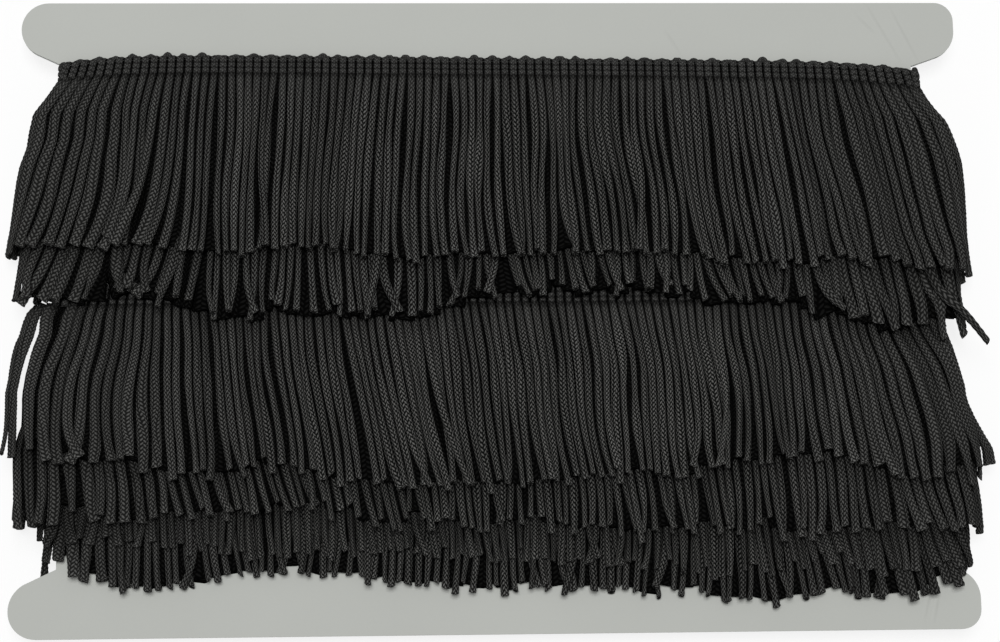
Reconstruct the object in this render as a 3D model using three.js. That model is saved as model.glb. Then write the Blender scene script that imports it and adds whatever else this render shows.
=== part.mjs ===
// A length of chainette fringe trim wound five times round an I-shaped trim card.
// Millimetres, +Z up, lying on its back: X runs along the card, Y up its face.
// The trim is one continuous spiral: a narrow knitted heading, and the fringe of
// looped chainette cords that hangs from the heading as one comb.
import * as THREE from "three";

// ---- the card -------------------------------------------------------------
const CARD_HALF_WIDTH = 130;
const CARD_HALF_HEIGHT = 87.4;
const CARD_THICKNESS = 1.7;
const LIP_WIDEST_Y = 80; // where the rounded ends of the lips reach furthest out
const LIP_INNER_RADIUS = 8;
const LIP_INNER_TURN = THREE.MathUtils.degToRad(69);
const NOTCH_HALF_WIDTH = 117.5; // the narrow waist that the trim is wound on
const NOTCH_HALF_HEIGHT = 69;

// ---- the trim -------------------------------------------------------------
const HEADING_HEIGHT = 6.1;
const HEADING_THICKNESS = 1.8;
const COMB_TOP = 6.5; // the comb starts a hair below the heading
const COMB_THICKNESS = 2;
const TRIM_WIDTH = 55.5; // from the top of the heading to the tips
const LAYER = 2.5; // from one layer of cords to the next
const SEAT = 1.3; // from the card to the middle of a layer that lies on it
const SPACE_BEHIND = 7.8; // from the table to the card, filled by up to three layers
const RAMP = 5.5; // depth in which a layer climbs over a heading wound before it
const RAMP_CLEAR = 1; // and this far above that heading's edge it is over it
const DROP_AFTER_TIPS = 18; // depth in which a layer sinks past the tips under it
const TIPS_SPREAD = 3; // how far the longest cord reaches past the trim's width
const SETTLE_FROM = 4; // depths between which the back sinks from card to table
const SETTLE_TO = 18;

// One row for each turn, in the order wound, the innermost first. top: height of the
// heading's upper edge. endDrop: how far it dips into the waist at both ends. lean:
// how far the tips have swung to the right in the middle of the front.
const TURNS = [
  { top: -20, endDrop: 0, lean: 5 },
  { top: -4, endDrop: 0, lean: 6 },
  { top: 7.6, endDrop: 0, lean: 6 },
  { top: 58.5, endDrop: 0, lean: 4 },
  { top: 71.3, endDrop: 3, lean: 0 },
];
const START_X = -112; // the cut end of the innermost turn, on the front
const TAIL_X = 80; // the cut end of the outermost turn, on the back
const TAIL_CLEAR = 15; // the pass inside the tail starts to sink this far past it
const TAIL_REACH = 45; // and is down after this much

// ---- the folds round the card's two edges -----------------------------------
const FOLD_RADIUS_AT_HEADING = 2;
const FOLD_RADIUS_AT_TIPS = 3;
const FOLD_GROWS_TO = 20; // depth at which the fold has its full radius
const FOLD_LAYER = 2.8; // layers lie a little looser in the folds
const FAN = 7.6; // how far the cords beside a fold swing outwards
const FAN_SIGMA = 13;
const FAN_FROM_X = 60;
const LIP_CLEAR = 2.5; // between the shortened cords of a fold and the lower lip
const TIP_CLEAR = 1; // between them and the climb of the turn inside them
const NORMAL_STEP_MM = 1.2; // over which the surface's direction is taken
const NORMAL_STEP_RAD = 0.1;

// ---- the comb's teeth: bunches of cords with slits between them ---------------
const TEETH = { front: 15, back: 9, fold: 4 };
const SLIT_MM = { top: 0.8, tip: 2.2 };
const SLIT_RAD = { top: 0.1, tip: 0.14 }; // in a fold a slit is an angle
const SLIT_FIRST_ROWS = [3, 2, 4, 3, 2, 3, 4]; // row where each slit opens, in turn
const ROWS = 6; // rows of the grid from the comb's top to just above its tips
const LAST_ROW_ABOVE_TIPS = 5;
const BACK_ROWS = [COMB_TOP, 10, 18, 27, 36, 46];
const BACK_ROWS_FROM = 25; // distance from a fold where the back's own rows start
const HEADING_ROWS = [0, HEADING_HEIGHT];
const HEADING_PARTS = { ...TEETH, fold: 6 };

const cardBack = SPACE_BEHIND;
const cardFront = SPACE_BEHIND + CARD_THICKNESS;
const { clamp, lerp } = THREE.MathUtils;
const share = (value, from, to) => clamp((value - from) / (to - from), 0, 1);

// ---- where the trim runs ------------------------------------------------------

// Height of the heading's upper edge on the front of turn k, at x.
function frontTop(k, x) {
  const { top, endDrop } = TURNS[k];
  return top - endDrop * Math.abs(x / NOTCH_HALF_WIDTH) ** 8;
}

// The same on the back: each pass rises from its own turn's height, at the right
// edge, to the next turn's height, at the left edge.
function backTop(k, x) {
  const risen = share(x, NOTCH_HALF_WIDTH, -NOTCH_HALF_WIDTH);
  const next = Math.min(k + 1, TURNS.length - 1);
  return lerp(frontTop(k, NOTCH_HALF_WIDTH), frontTop(next, -NOTCH_HALF_WIDTH), risen);
}

// From 0 above a heading to 1 once a layer outside it has climbed clear of it.
function climbed(y, top) {
  return share(y, top + RAMP_CLEAR + RAMP, top + RAMP_CLEAR);
}

// How many of the turns inside turn k it lies over at height y.
function turnsUnder(k, y, topOf, firstTurn = 0) {
  let layers = 0;
  for (let j = firstTurn; j < k; j += 1) layers += climbed(y, topOf(j));
  return layers;
}

// Middle of the layer on the front: the card's face, then the turns wound before.
function frontZ(k, x, y) {
  return cardFront + SEAT + LAYER * turnsUnder(k, y, (j) => frontTop(j, x));
}

// How much of turn j's back pass lies between the table and the turns inside it.
function carries(j, x, y) {
  const tips = backTop(j, x) - TRIM_WIDTH - TIPS_SPREAD;
  const along = j === TURNS.length - 1 ? share(x, TAIL_X - TAIL_REACH, TAIL_X - TAIL_CLEAR) : 1;
  return along * share(y, tips - DROP_AFTER_TIPS, tips);
}

// Middle of the layer on the back: it leaves the card at its heading, passes outside
// the headings wound before it, and settles on the table or on the turns below.
function backZ(k, x, y, depth) {
  const onCard = cardBack - SEAT - LAYER * turnsUnder(k, y, (j) => backTop(j, x));
  let settled = COMB_THICKNESS / 2;
  for (let j = k + 1; j < TURNS.length; j += 1) settled += LAYER * carries(j, x, y);
  return lerp(onCard, settled, share(depth, SETTLE_FROM, SETTLE_TO));
}

// The outward swing of the cords beside a fold grows with depth and levels off.
function fanAt(depth) {
  const below = Math.max(0, depth - HEADING_HEIGHT);
  return FAN * (1 - Math.exp(-(below ** 2) / (2 * FAN_SIGMA ** 2)));
}

function foldRadius(depth, layersInside) {
  const grown = share(depth, HEADING_HEIGHT, FOLD_GROWS_TO);
  return lerp(FOLD_RADIUS_AT_HEADING, FOLD_RADIUS_AT_TIPS, grown) + FOLD_LAYER * layersInside;
}

function besideFold(x, depth) {
  const near = THREE.MathUtils.smoothstep(Math.abs(x), FAN_FROM_X, NOTCH_HALF_WIDTH);
  return Math.sign(x) * near * fanAt(depth);
}

// A point of the trim's middle surface. pass says which stretch it is in; along is x
// in mm on a face of the card, and in a fold the angle turned from the front.
function pointOfTrim(pass, along, depth) {
  const { kind, k } = pass;
  if (kind === "front") {
    const y = frontTop(k, along) - depth;
    const middle = 1 - (along / NOTCH_HALF_WIDTH) ** 2;
    const swing = TURNS[k].lean * middle * (depth / TRIM_WIDTH) ** 2;
    return new THREE.Vector3(along + besideFold(along, depth) + swing, y, frontZ(k, along, y));
  }
  if (kind === "back") {
    const y = backTop(k, along) - depth;
    return new THREE.Vector3(along + besideFold(along, depth), y, backZ(k, along, y, depth));
  }
  const side = kind === "foldRight" ? 1 : -1;
  const edge = side * NOTCH_HALF_WIDTH;
  const frontTurn = side > 0 ? k : k + 1; // a left fold leads to the next turn's front
  const firstInside = side > 0 ? 0 : 1; // the innermost turn starts past the left edge
  const y = frontTop(frontTurn, edge) - depth;
  const inside = turnsUnder(frontTurn, y, (j) => frontTop(j, edge), firstInside);
  const out = NOTCH_HALF_WIDTH + fanAt(depth) + foldRadius(depth, inside) * Math.sin(along);
  const towardsFront = (1 + Math.cos(along)) / 2;
  const z = lerp(backZ(k, edge, y, depth), frontZ(frontTurn, edge, y), towardsFront);
  return new THREE.Vector3(side * out, y, z);
}

// The point with the direction that faces outwards, square to the surface around it.
function spotOfTrim(pass, along, depth) {
  const step = pass.kind.startsWith("fold") ? NORMAL_STEP_RAD : NORMAL_STEP_MM;
  const direction = Math.sign(pass.to - pass.from) * step;
  const ahead = pointOfTrim(pass, along + direction, depth);
  const alongTrim = ahead.sub(pointOfTrim(pass, along - direction, depth));
  const below = pointOfTrim(pass, along, depth + NORMAL_STEP_MM);
  const downTrim = below.sub(pointOfTrim(pass, along, depth - NORMAL_STEP_MM));
  const outwards = downTrim.cross(alongTrim).normalize();
  return { point: pointOfTrim(pass, along, depth), outwards };
}

// The stretches in the order wound: front, right fold, back, left fold, and again.
function passesOfTrim() {
  const passes = [];
  TURNS.forEach((turn, k) => {
    const isLast = k === TURNS.length - 1;
    const startX = k === 0 ? START_X : -NOTCH_HALF_WIDTH;
    const endX = isLast ? TAIL_X : -NOTCH_HALF_WIDTH;
    passes.push({ kind: "front", k, from: startX, to: NOTCH_HALF_WIDTH });
    passes.push({ kind: "foldRight", k, from: 0, to: Math.PI });
    passes.push({ kind: "back", k, from: NOTCH_HALF_WIDTH, to: endX });
    if (!isLast) passes.push({ kind: "foldLeft", k, from: Math.PI, to: 0 });
  });
  return passes;
}

// ---- a sheet with thickness -----------------------------------------------------

// columns[i][r] are spots of the middle surface, and isSolid(i, r) says whether the
// cell between columns i and i+1 and rows r and r+1 is there. Each cell gets a face
// on both sides, and each edge that borders on nothing gets a rim, so it is closed.
function sheetSolid(columns, thickness, isSolid) {
  const lastColumn = columns.length - 1;
  const lastRow = columns[0].length - 1;
  const positions = [];
  const corner = (i, r, side) => (i * (lastRow + 1) + r) * 2 + side;
  for (let i = 0; i <= lastColumn; i += 1) {
    for (let r = 0; r <= lastRow; r += 1) {
      const { point, outwards } = columns[i][r];
      positions.push(...point.clone().addScaledVector(outwards, thickness / 2));
      positions.push(...point.clone().addScaledVector(outwards, -thickness / 2));
    }
  }
  const inGrid = (i, r) => i >= 0 && r >= 0 && i < lastColumn && r < lastRow;
  const filled = (i, r) => inGrid(i, r) && isSolid(i, r);
  const triangles = [];
  const quad = (a, b, c, d) => triangles.push(a, b, c, a, c, d);
  const rim = (i, r, i2, r2) => {
    quad(corner(i, r, 0), corner(i2, r2, 0), corner(i2, r2, 1), corner(i, r, 1));
  };
  for (let i = 0; i < lastColumn; i += 1) {
    for (let r = 0; r < lastRow; r += 1) {
      if (!filled(i, r)) continue;
      quad(corner(i, r, 0), corner(i, r + 1, 0), corner(i + 1, r + 1, 0), corner(i + 1, r, 0));
      quad(corner(i, r, 1), corner(i + 1, r, 1), corner(i + 1, r + 1, 1), corner(i, r + 1, 1));
      if (!filled(i, r - 1)) rim(i, r, i + 1, r);
      if (!filled(i, r + 1)) rim(i + 1, r + 1, i, r + 1);
      if (!filled(i - 1, r)) rim(i, r + 1, i, r);
      if (!filled(i + 1, r)) rim(i + 1, r, i + 1, r + 1);
    }
  }
  const geometry = new THREE.BufferGeometry();
  geometry.setAttribute("position", new THREE.Float32BufferAttribute(positions, 3));
  geometry.setIndex(triangles);
  return geometry;
}

// ---- the three pieces -------------------------------------------------------------

// One quarter of the card's outline, from the middle of its top edge to its waist.
function cardOutline() {
  const topRadius = CARD_HALF_HEIGHT - LIP_WIDEST_Y;
  const quarter = new THREE.Path();
  quarter.moveTo(0, CARD_HALF_HEIGHT);
  quarter.lineTo(CARD_HALF_WIDTH - topRadius, CARD_HALF_HEIGHT);
  quarter.absarc(CARD_HALF_WIDTH - topRadius, LIP_WIDEST_Y, topRadius, Math.PI / 2, 0, true);
  const innerCentre = CARD_HALF_WIDTH - LIP_INNER_RADIUS;
  quarter.absarc(innerCentre, LIP_WIDEST_Y, LIP_INNER_RADIUS, 0, -LIP_INNER_TURN, true);
  quarter.lineTo(NOTCH_HALF_WIDTH, NOTCH_HALF_HEIGHT);
  const topRight = quarter.getPoints(5);
  const mirrored = (points, sx, sy) => points.map((p) => new THREE.Vector2(p.x * sx, p.y * sy));
  const topLeft = mirrored(topRight, -1, 1).reverse();
  const bottomRight = mirrored(topRight, 1, -1).reverse();
  const bottomLeft = mirrored(topRight, -1, -1);
  const round = [...topRight, ...bottomRight, ...bottomLeft, ...topLeft];
  return round.filter((p, i) => p.distanceTo(round[(i + 1) % round.length]) > 1e-6);
}

function cardGeometry() {
  const shape = new THREE.Shape(cardOutline());
  const geometry = new THREE.ExtrudeGeometry(shape, { depth: CARD_THICKNESS, bevelEnabled: false });
  return geometry.translate(0, 0, cardBack);
}

function headingGeometry() {
  const columns = [];
  passesOfTrim().forEach((pass, index, passes) => {
    const parts = HEADING_PARTS[pass.kind] ?? HEADING_PARTS.fold;
    const last = index === passes.length - 1 ? parts : parts - 1;
    for (let i = 0; i <= last; i += 1) {
      const along = lerp(pass.from, pass.to, i / parts);
      columns.push(HEADING_ROWS.map((depth) => spotOfTrim(pass, along, depth)));
    }
  });
  return sheetSolid(columns, HEADING_THICKNESS, () => true);
}

// Depths of the comb's rows on the front of turn k: one where each climb over an
// inner heading starts and ends, and the rest in the longest stretches between.
function frontRows(k) {
  const rows = [COMB_TOP];
  const addIfFree = (depth) => {
    const free = rows.every((other) => Math.abs(other - depth) > 1);
    if (free && depth > COMB_TOP && depth < TRIM_WIDTH - 1) rows.push(depth);
  };
  for (let j = 0; j < k; j += 1) {
    const climbEnd = TURNS[k].top - TURNS[j].top - RAMP_CLEAR;
    addIfFree(climbEnd);
    addIfFree(climbEnd - RAMP);
  }
  addIfFree(TRIM_WIDTH - LAST_ROW_ABOVE_TIPS);
  rows.sort((a, b) => a - b);
  while (rows.length < ROWS) {
    let widest = 1;
    for (let r = 2; r < rows.length; r += 1) {
      if (rows[r] - rows[r - 1] > rows[widest] - rows[widest - 1]) widest = r;
    }
    rows.splice(widest, 0, (rows[widest - 1] + rows[widest]) / 2);
  }
  return rows;
}

// Row depths anywhere: the front's, on through the folds, or a little way past them
// the back's own. Where a heading dips, the rows below its own stay level.
function rowsAt(pass, along) {
  const { kind, k } = pass;
  const nearLeft = kind === "foldLeft" || (kind === "back" && along < 0);
  const turn = nearLeft ? Math.min(k + 1, TURNS.length - 1) : k;
  const x = kind === "front" ? along : NOTCH_HALF_WIDTH;
  const dip = TURNS[turn].top - frontTop(turn, x);
  const onBack = kind === "back" ? share(Math.abs(x - Math.abs(along)), 0, BACK_ROWS_FROM) : 0;
  return frontRows(turn).map((depth, r) => {
    const front = r === 0 ? depth : depth - dip;
    return lerp(front, BACK_ROWS[r], onBack);
  });
}

// Cords are cut by eye, so the tips are uneven: two waves that never fall in step.
function unevenness(edge) {
  return 1.1 * Math.sin(2.4 * edge) + 0.7 * Math.sin(5.3 * edge + 1);
}

// How long the cords of a fold can be: in the innermost turn's right fold they end
// above the card's lower lip, and in the outermost turn's left fold they end where
// the turn inside it starts to climb.
function longest(pass) {
  const outermost = TURNS.length - 1;
  if (pass.kind === "foldRight" && pass.k === 0) {
    return TURNS[0].top + NOTCH_HALF_HEIGHT - LIP_CLEAR;
  }
  if (pass.kind === "foldLeft" && pass.k + 1 === outermost) {
    const climbStart = TURNS[outermost - 2].top + RAMP_CLEAR + RAMP + TIP_CLEAR;
    return frontTop(outermost, NOTCH_HALF_WIDTH) - climbStart;
  }
  return Infinity;
}

function combColumns() {
  const columns = [];
  for (const pass of passesOfTrim()) {
    const isFold = pass.kind.startsWith("fold");
    const teeth = isFold ? TEETH.fold : TEETH[pass.kind];
    const slit = isFold ? SLIT_RAD : SLIT_MM;
    const direction = Math.sign(pass.to - pass.from);
    const covered = Math.abs(pass.to - pass.from) / (2 * NOTCH_HALF_WIDTH);
    const count = isFold ? teeth : Math.max(1, Math.round(teeth * covered));
    for (let tooth = 0; tooth < count; tooth += 1) {
      for (const [edge, inwards] of [[tooth, 1], [tooth + 1, -1]]) {
        const along = lerp(pass.from, pass.to, edge / count);
        const number = columns.length;
        const tip = Math.min(TRIM_WIDTH + unevenness(number), longest(pass));
        const depths = [...rowsAt(pass, along), tip];
        columns.push(
          depths.map((depth, r) => {
            const halfSlit = lerp(slit.top, slit.tip, share(depth, COMB_TOP, TRIM_WIDTH)) / 2;
            const limit = tip - LAST_ROW_ABOVE_TIPS * (1 - r / ROWS);
            return spotOfTrim(pass, along + direction * inwards * halfSlit, Math.min(depth, limit));
          }),
        );
      }
    }
  }
  return columns;
}

// Columns 0 and 1 bound a tooth, 1 and 2 a slit, and so on.
function combGeometry() {
  const opensAt = (slit) => SLIT_FIRST_ROWS[slit % SLIT_FIRST_ROWS.length];
  const isSolid = (i, r) => i % 2 === 0 || r < opensAt((i - 1) / 2);
  return sheetSolid(combColumns(), COMB_THICKNESS, isSolid);
}

// ---- the object -------------------------------------------------------------------

function piece(name, geometry, color, roughness) {
  const material = new THREE.MeshStandardMaterial({ color, roughness, metalness: 0 });
  const mesh = new THREE.Mesh(geometry, material);
  mesh.name = name;
  return mesh;
}

const CARD_GREY = 0xb7b9b4;
const TRIM_BLACK = 0x2a2a29;
const group = new THREE.Group();
group.add(piece("card", cardGeometry(), CARD_GREY, 0.6));
group.add(piece("heading", headingGeometry(), TRIM_BLACK, 0.85));
group.add(piece("fringe", combGeometry(), TRIM_BLACK, 0.8));

// The origin is the middle of the underside of the whole object.
const box = new THREE.Box3().setFromObject(group);
const centre = box.getCenter(new THREE.Vector3());
group.position.set(-centre.x, -centre.y, -box.min.z);

export default group;
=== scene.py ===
# %% [markdown]
# # A card of chainette fringe
# Chainette fringe is sold wound on an I-shaped card. The trim has a narrow knitted
# heading, and from the heading hang about a thousand soft knitted cords. Here it goes
# five times round the card, and each turn starts lower or higher than the last, so
# that rows of tips show one below the other.
#
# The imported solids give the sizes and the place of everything. This script makes the
# looks: one real tube for each cord, the looped heading, the card and their finishes.
# A few sheets with cords drawn on them would be quicker to make, but then no cord could
# part from its neighbours, cross them or hang free, and the tips would be one edge.

# %% Load the solids
import math

import bpy
import numpy as np
from mathutils import Matrix, Vector


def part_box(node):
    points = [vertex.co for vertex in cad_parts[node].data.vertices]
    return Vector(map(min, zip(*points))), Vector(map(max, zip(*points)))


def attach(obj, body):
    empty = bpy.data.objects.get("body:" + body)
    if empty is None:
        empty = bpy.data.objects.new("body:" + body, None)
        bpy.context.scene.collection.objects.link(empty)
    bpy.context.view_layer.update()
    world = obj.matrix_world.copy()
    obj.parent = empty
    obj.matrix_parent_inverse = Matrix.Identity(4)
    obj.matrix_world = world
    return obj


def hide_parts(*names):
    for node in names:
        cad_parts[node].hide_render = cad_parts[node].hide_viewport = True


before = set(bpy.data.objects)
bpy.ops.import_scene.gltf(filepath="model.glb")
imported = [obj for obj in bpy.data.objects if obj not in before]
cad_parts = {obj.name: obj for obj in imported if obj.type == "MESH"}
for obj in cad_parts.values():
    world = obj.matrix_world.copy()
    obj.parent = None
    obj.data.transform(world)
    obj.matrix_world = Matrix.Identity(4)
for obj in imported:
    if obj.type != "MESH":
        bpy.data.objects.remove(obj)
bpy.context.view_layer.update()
card_low, card_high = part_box("card")

# %% [markdown]
# ## Camera
# The camera looks almost straight down on the face of the card, from a little below
# its middle, as goods on a table are often shown. Its place is worked out from the
# angles it leans by and its distance to a point on the card's face, because these are
# the numbers that somebody who wants another view would change.

# %% Camera
scene = bpy.context.scene


def add_object(name, data):
    """A new object for a mesh, a lamp or a camera, placed in the scene."""
    made = bpy.data.objects.new(name, data)
    scene.collection.objects.link(made)
    return made


VIEW_TILT = math.radians(9.65)
VIEW_TURN = math.radians(-2.26)
VIEW_ROLL = math.radians(-0.74)
VIEW_DISTANCE = 0.600
LENS_MM = 79.2
AIM_FROM_CARD_MIDDLE = Vector((0.00138, -0.00276, 0))
NEAREST_SEEN = 0.01

card_middle = Vector([(low + high) / 2 for low, high in zip(card_low, card_high)])
face_middle = Vector((card_middle.x, card_middle.y, card_high[2]))
aim = face_middle + AIM_FROM_CARD_MIDDLE
towards_camera = Vector((
    math.sin(VIEW_TURN),
    -math.sin(VIEW_TILT) * math.cos(VIEW_TURN),
    math.cos(VIEW_TILT) * math.cos(VIEW_TURN),
))
level_right = (-towards_camera).cross(Vector((0, 1, 0))).normalized()
level_up = level_right.cross(-towards_camera)
right = math.cos(VIEW_ROLL) * level_right + math.sin(VIEW_ROLL) * level_up
up = math.cos(VIEW_ROLL) * level_up - math.sin(VIEW_ROLL) * level_right

camera_data = bpy.data.cameras.new("camera")
camera_data.lens = LENS_MM
camera_data.clip_start = NEAREST_SEEN
camera = add_object("camera", camera_data)
camera.matrix_world = Matrix.Translation(aim + VIEW_DISTANCE * towards_camera) @ Matrix(
    (right, up, towards_camera)
).transposed().to_4x4()
scene.camera = camera
print("camera at", list(camera.matrix_world.translation))

# %% [markdown]
# ## Where the trim runs
# The layout is worked in millimetres, measured from the middle of the card, with
# heights above the table. It follows the solids: five turns, each with the height of
# its heading on the card, laid one over the other where they meet. Every later step
# reads these few numbers, so that one change moves a turn with all its cords.

# %% Layout of the winding
MM = 0.001
CARD_BACK = card_low[2] / MM
CARD_FRONT = card_high[2] / MM
WAIST = 117.5  # half the width of the waist that the trim is wound on
HEADING_HEIGHT = 6.1
TRIM_WIDTH = 55.5
LAYER = 2.5  # from one layer of cords to the next
SEAT = 1.3  # from the card to the middle of the layer on it
SETTLED = 1.25  # middle of a layer that lies on the table
RAMP, RAMP_CLEAR = 13.0, 1.0  # a layer climbs over an inner heading in this depth
SHORT_ROW_LAYER = 1.1  # room for the second, shorter row of the innermost turn
DROP_AFTER_TIPS, TIPS_SPREAD = 18.0, 3.0
SETTLE_FROM, SETTLE_TO = 4.0, 18.0
FOLD_GROWS_FROM = 7.6
FOLD_AT_HEADING, FOLD_AT_TIPS, FOLD_GROWS_TO, FOLD_LAYER = 1.1, 3.0, 20.0, 2.8
# For each turn, how far cords have swung out at these depths, at the left and right fold.
FAN_DEPTHS = (6, 10, 16, 24, 34, 50)
FANS = (
    ((0, 0, 0, 0, 0, 0), (0, 0.3, 1.6, 3.6, 5.0, 5.2)),
    ((0, 0.3, 1.8, 4.8, 8.0, 8.8), (0, 0.4, 1.8, 4.0, 5.6, 5.9)),
    ((0.6, 2.6, 4.2, 4.2, 4.0, 4.4), (2.0, 3.0, 3.4, 3.7, 4.1, 5.0)),
    ((0, 0.3, 1.4, 3.8, 6.6, 8.2), (0, 0.2, 1.2, 2.8, 5.0, 6.6)),
    ((0, 2.2, 5.6, 5.0, 6.6, 8.2), (0, 2.0, 5.4, 6.5, 6.9, 7.0)),
)
TAIL_X, TAIL_CLEAR, TAIL_REACH = 80.0, 15.0, 45.0
START_X = -118.0

# Innermost turn first: height of the heading, its dip at the waist and its slope.
HEADING_TOPS = (-20.0, -4.0, 7.6, 58.5, 71.7)
END_DIPS = (0.0, 0.0, 0.0, 0.0, 2.7)
END_DROPS = (0.0, 0.0, 0.0, 0.0, 1.4)
TURNS = range(len(HEADING_TOPS))
OUTERMOST = TURNS[-1]
print(len(HEADING_TOPS), "turns of trim on a waist of", 2 * WAIST, "mm")

# %% [markdown]
# ## Headings
# On the face every heading runs straight along the card. Behind the card it climbs to
# the next turn's height, which is how a wound trim gets from one row to the next. Three
# small helpers, for how far a value has gone between two others, serve here and in all
# later cells. A drawn curve for each heading would do too, but could not be asked for a
# height at any place so simply.

# %% Heights of the headings
DIP_SHARPNESS = 8  # a heading stays level and dips only beside the folds


def share(value, start, end):
    """How far value has gone from start to end, from 0 to 1."""
    return np.clip((value - start) / (end - start), 0, 1)


def smooth_share(value, start, end):
    """The same with a gentle start and end: 3p^2 - 2p^3."""
    part = share(value, start, end)
    return part**2 * (3 - 2 * part)


def lerp(a, b, part):
    """a + (b - a) * part."""
    return a + (b - a) * part


def front_top(k, x):
    """Height of the heading's upper edge on the face: top - drop * p - dip * |p| ** 8."""
    across = x / WAIST
    dip = END_DIPS[k] * np.abs(across) ** DIP_SHARPNESS
    return HEADING_TOPS[k] - END_DROPS[k] * across - dip


def back_top(k, x):
    """Behind the card each pass rises from its own turn's height to the next one's."""
    following = min(k + 1, OUTERMOST)
    risen = share(x, WAIST, -WAIST)
    return lerp(front_top(k, WAIST), front_top(following, -WAIST), risen)


# %% [markdown]
# ## The height of every layer
# Each turn lies on the card or on the turns wound before it, as layers of bandage do,
# and climbs over the headings under it. Behind, all of it has sunk to the table. Cloth
# that falls in a simulation could find these heights, but formulas give the same layers
# on every run and are easy to ask for any point.

# %% Heights of the layers
def climbed(y, top):
    """0 above an inner heading, 1 once a layer over it has climbed clear."""
    return smooth_share(y, top + RAMP_CLEAR + RAMP, top + RAMP_CLEAR)


def front_z(k, x, y):
    """The card's face, plus one layer for each inner turn that lies below."""
    layers = sum(climbed(y, front_top(j, x)) for j in range(k))
    short_row = climbed(y, front_top(0, x)) if k else 0
    return CARD_FRONT + SEAT + LAYER * layers + SHORT_ROW_LAYER * short_row


def carries(j, x, y):
    """How much of turn j's back pass lies between the table and the turns inside."""
    tips = back_top(j, x) - TRIM_WIDTH - TIPS_SPREAD
    along = share(x, TAIL_X - TAIL_REACH, TAIL_X - TAIL_CLEAR) if j == OUTERMOST else 1
    return along * share(y, tips - DROP_AFTER_TIPS, tips)


def back_z(k, x, y, depth):
    """From the card's back, past the inner headings, down to the table or the turns below."""
    on_card = CARD_BACK - SEAT - LAYER * sum(climbed(y, back_top(j, x)) for j in range(k))
    settled = SETTLED + LAYER * sum(carries(j, x, y) for j in range(k + 1, len(TURNS)))
    return lerp(on_card, settled, smooth_share(depth, SETTLE_FROM, SETTLE_TO))


def fan(turn, side, depth):
    """Outward swing of the cords beside a fold, drawn through the table's depths."""
    return np.interp(depth, FAN_DEPTHS, FANS[turn][side > 0])


middle_heights = [round(float(front_z(k, 0.0, front_top(k, 0.0) - TRIM_WIDTH)), 1) for k in TURNS]
print("tips lie", middle_heights, "mm above the table in the middle of the card")

# %% [markdown]
# ## Round the folds
# A fold is half an ellipse between the layer on the face and the layer behind. A turn is
# treated as two halves, a face half and a back half, which meet at the outermost line
# of each fold. The heading is short there and the tips have a longer way round, so the
# cords spread. `FLOW` millimetres of cords on each side of a fold share that spreading,
# as real cords do by leaning on each other.

# %% Facts of a fold
FLOW = 42.0
FOLD_FILLS = (4, 18)  # a turn inside widens a fold between these depths below its heading


def fold_facts(face, k, side, depth):
    """Radius, layer heights on both sides, quarter arc and outward swing at a depth.

    side is -1 or 1. A left fold joins the pass behind turn k-1 to the face of turn k.
    """
    turn = k if face or side > 0 else min(k + 1, OUTERMOST)
    behind = turn if side > 0 else turn - 1
    edge = side * WAIST
    y = front_top(turn, edge) - depth
    first = 0 if side > 0 else 1
    inside = sum(
        share(y, *(front_top(j, edge) - below for below in FOLD_FILLS)) for j in range(first, turn)
    )
    grown = smooth_share(depth, FOLD_GROWS_FROM, FOLD_GROWS_TO)
    radius = lerp(FOLD_AT_HEADING, FOLD_AT_TIPS, grown) + FOLD_LAYER * inside
    front = front_z(turn, edge, y)
    back = back_z(max(behind, 0), edge, y, depth)
    quarter = math.pi / 2 * np.sqrt((radius**2 + ((front - back) / 2) ** 2) / 2)
    return radius, front, back, quarter, fan(turn, side, depth)


QUARTER_AT_HEADING = float(fold_facts(True, 1, 1, np.array(0.0))[3])
print("a fold's quarter at the heading is", round(QUARTER_AT_HEADING, 2), "mm")

# %% [markdown]
# Rows of straight cords bent round the card by a modifier would stretch their stitches
# there. So each point is worked out by itself, from a distance along the turn and a
# depth below the heading's upper edge: on the card, or on its fold.

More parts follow.
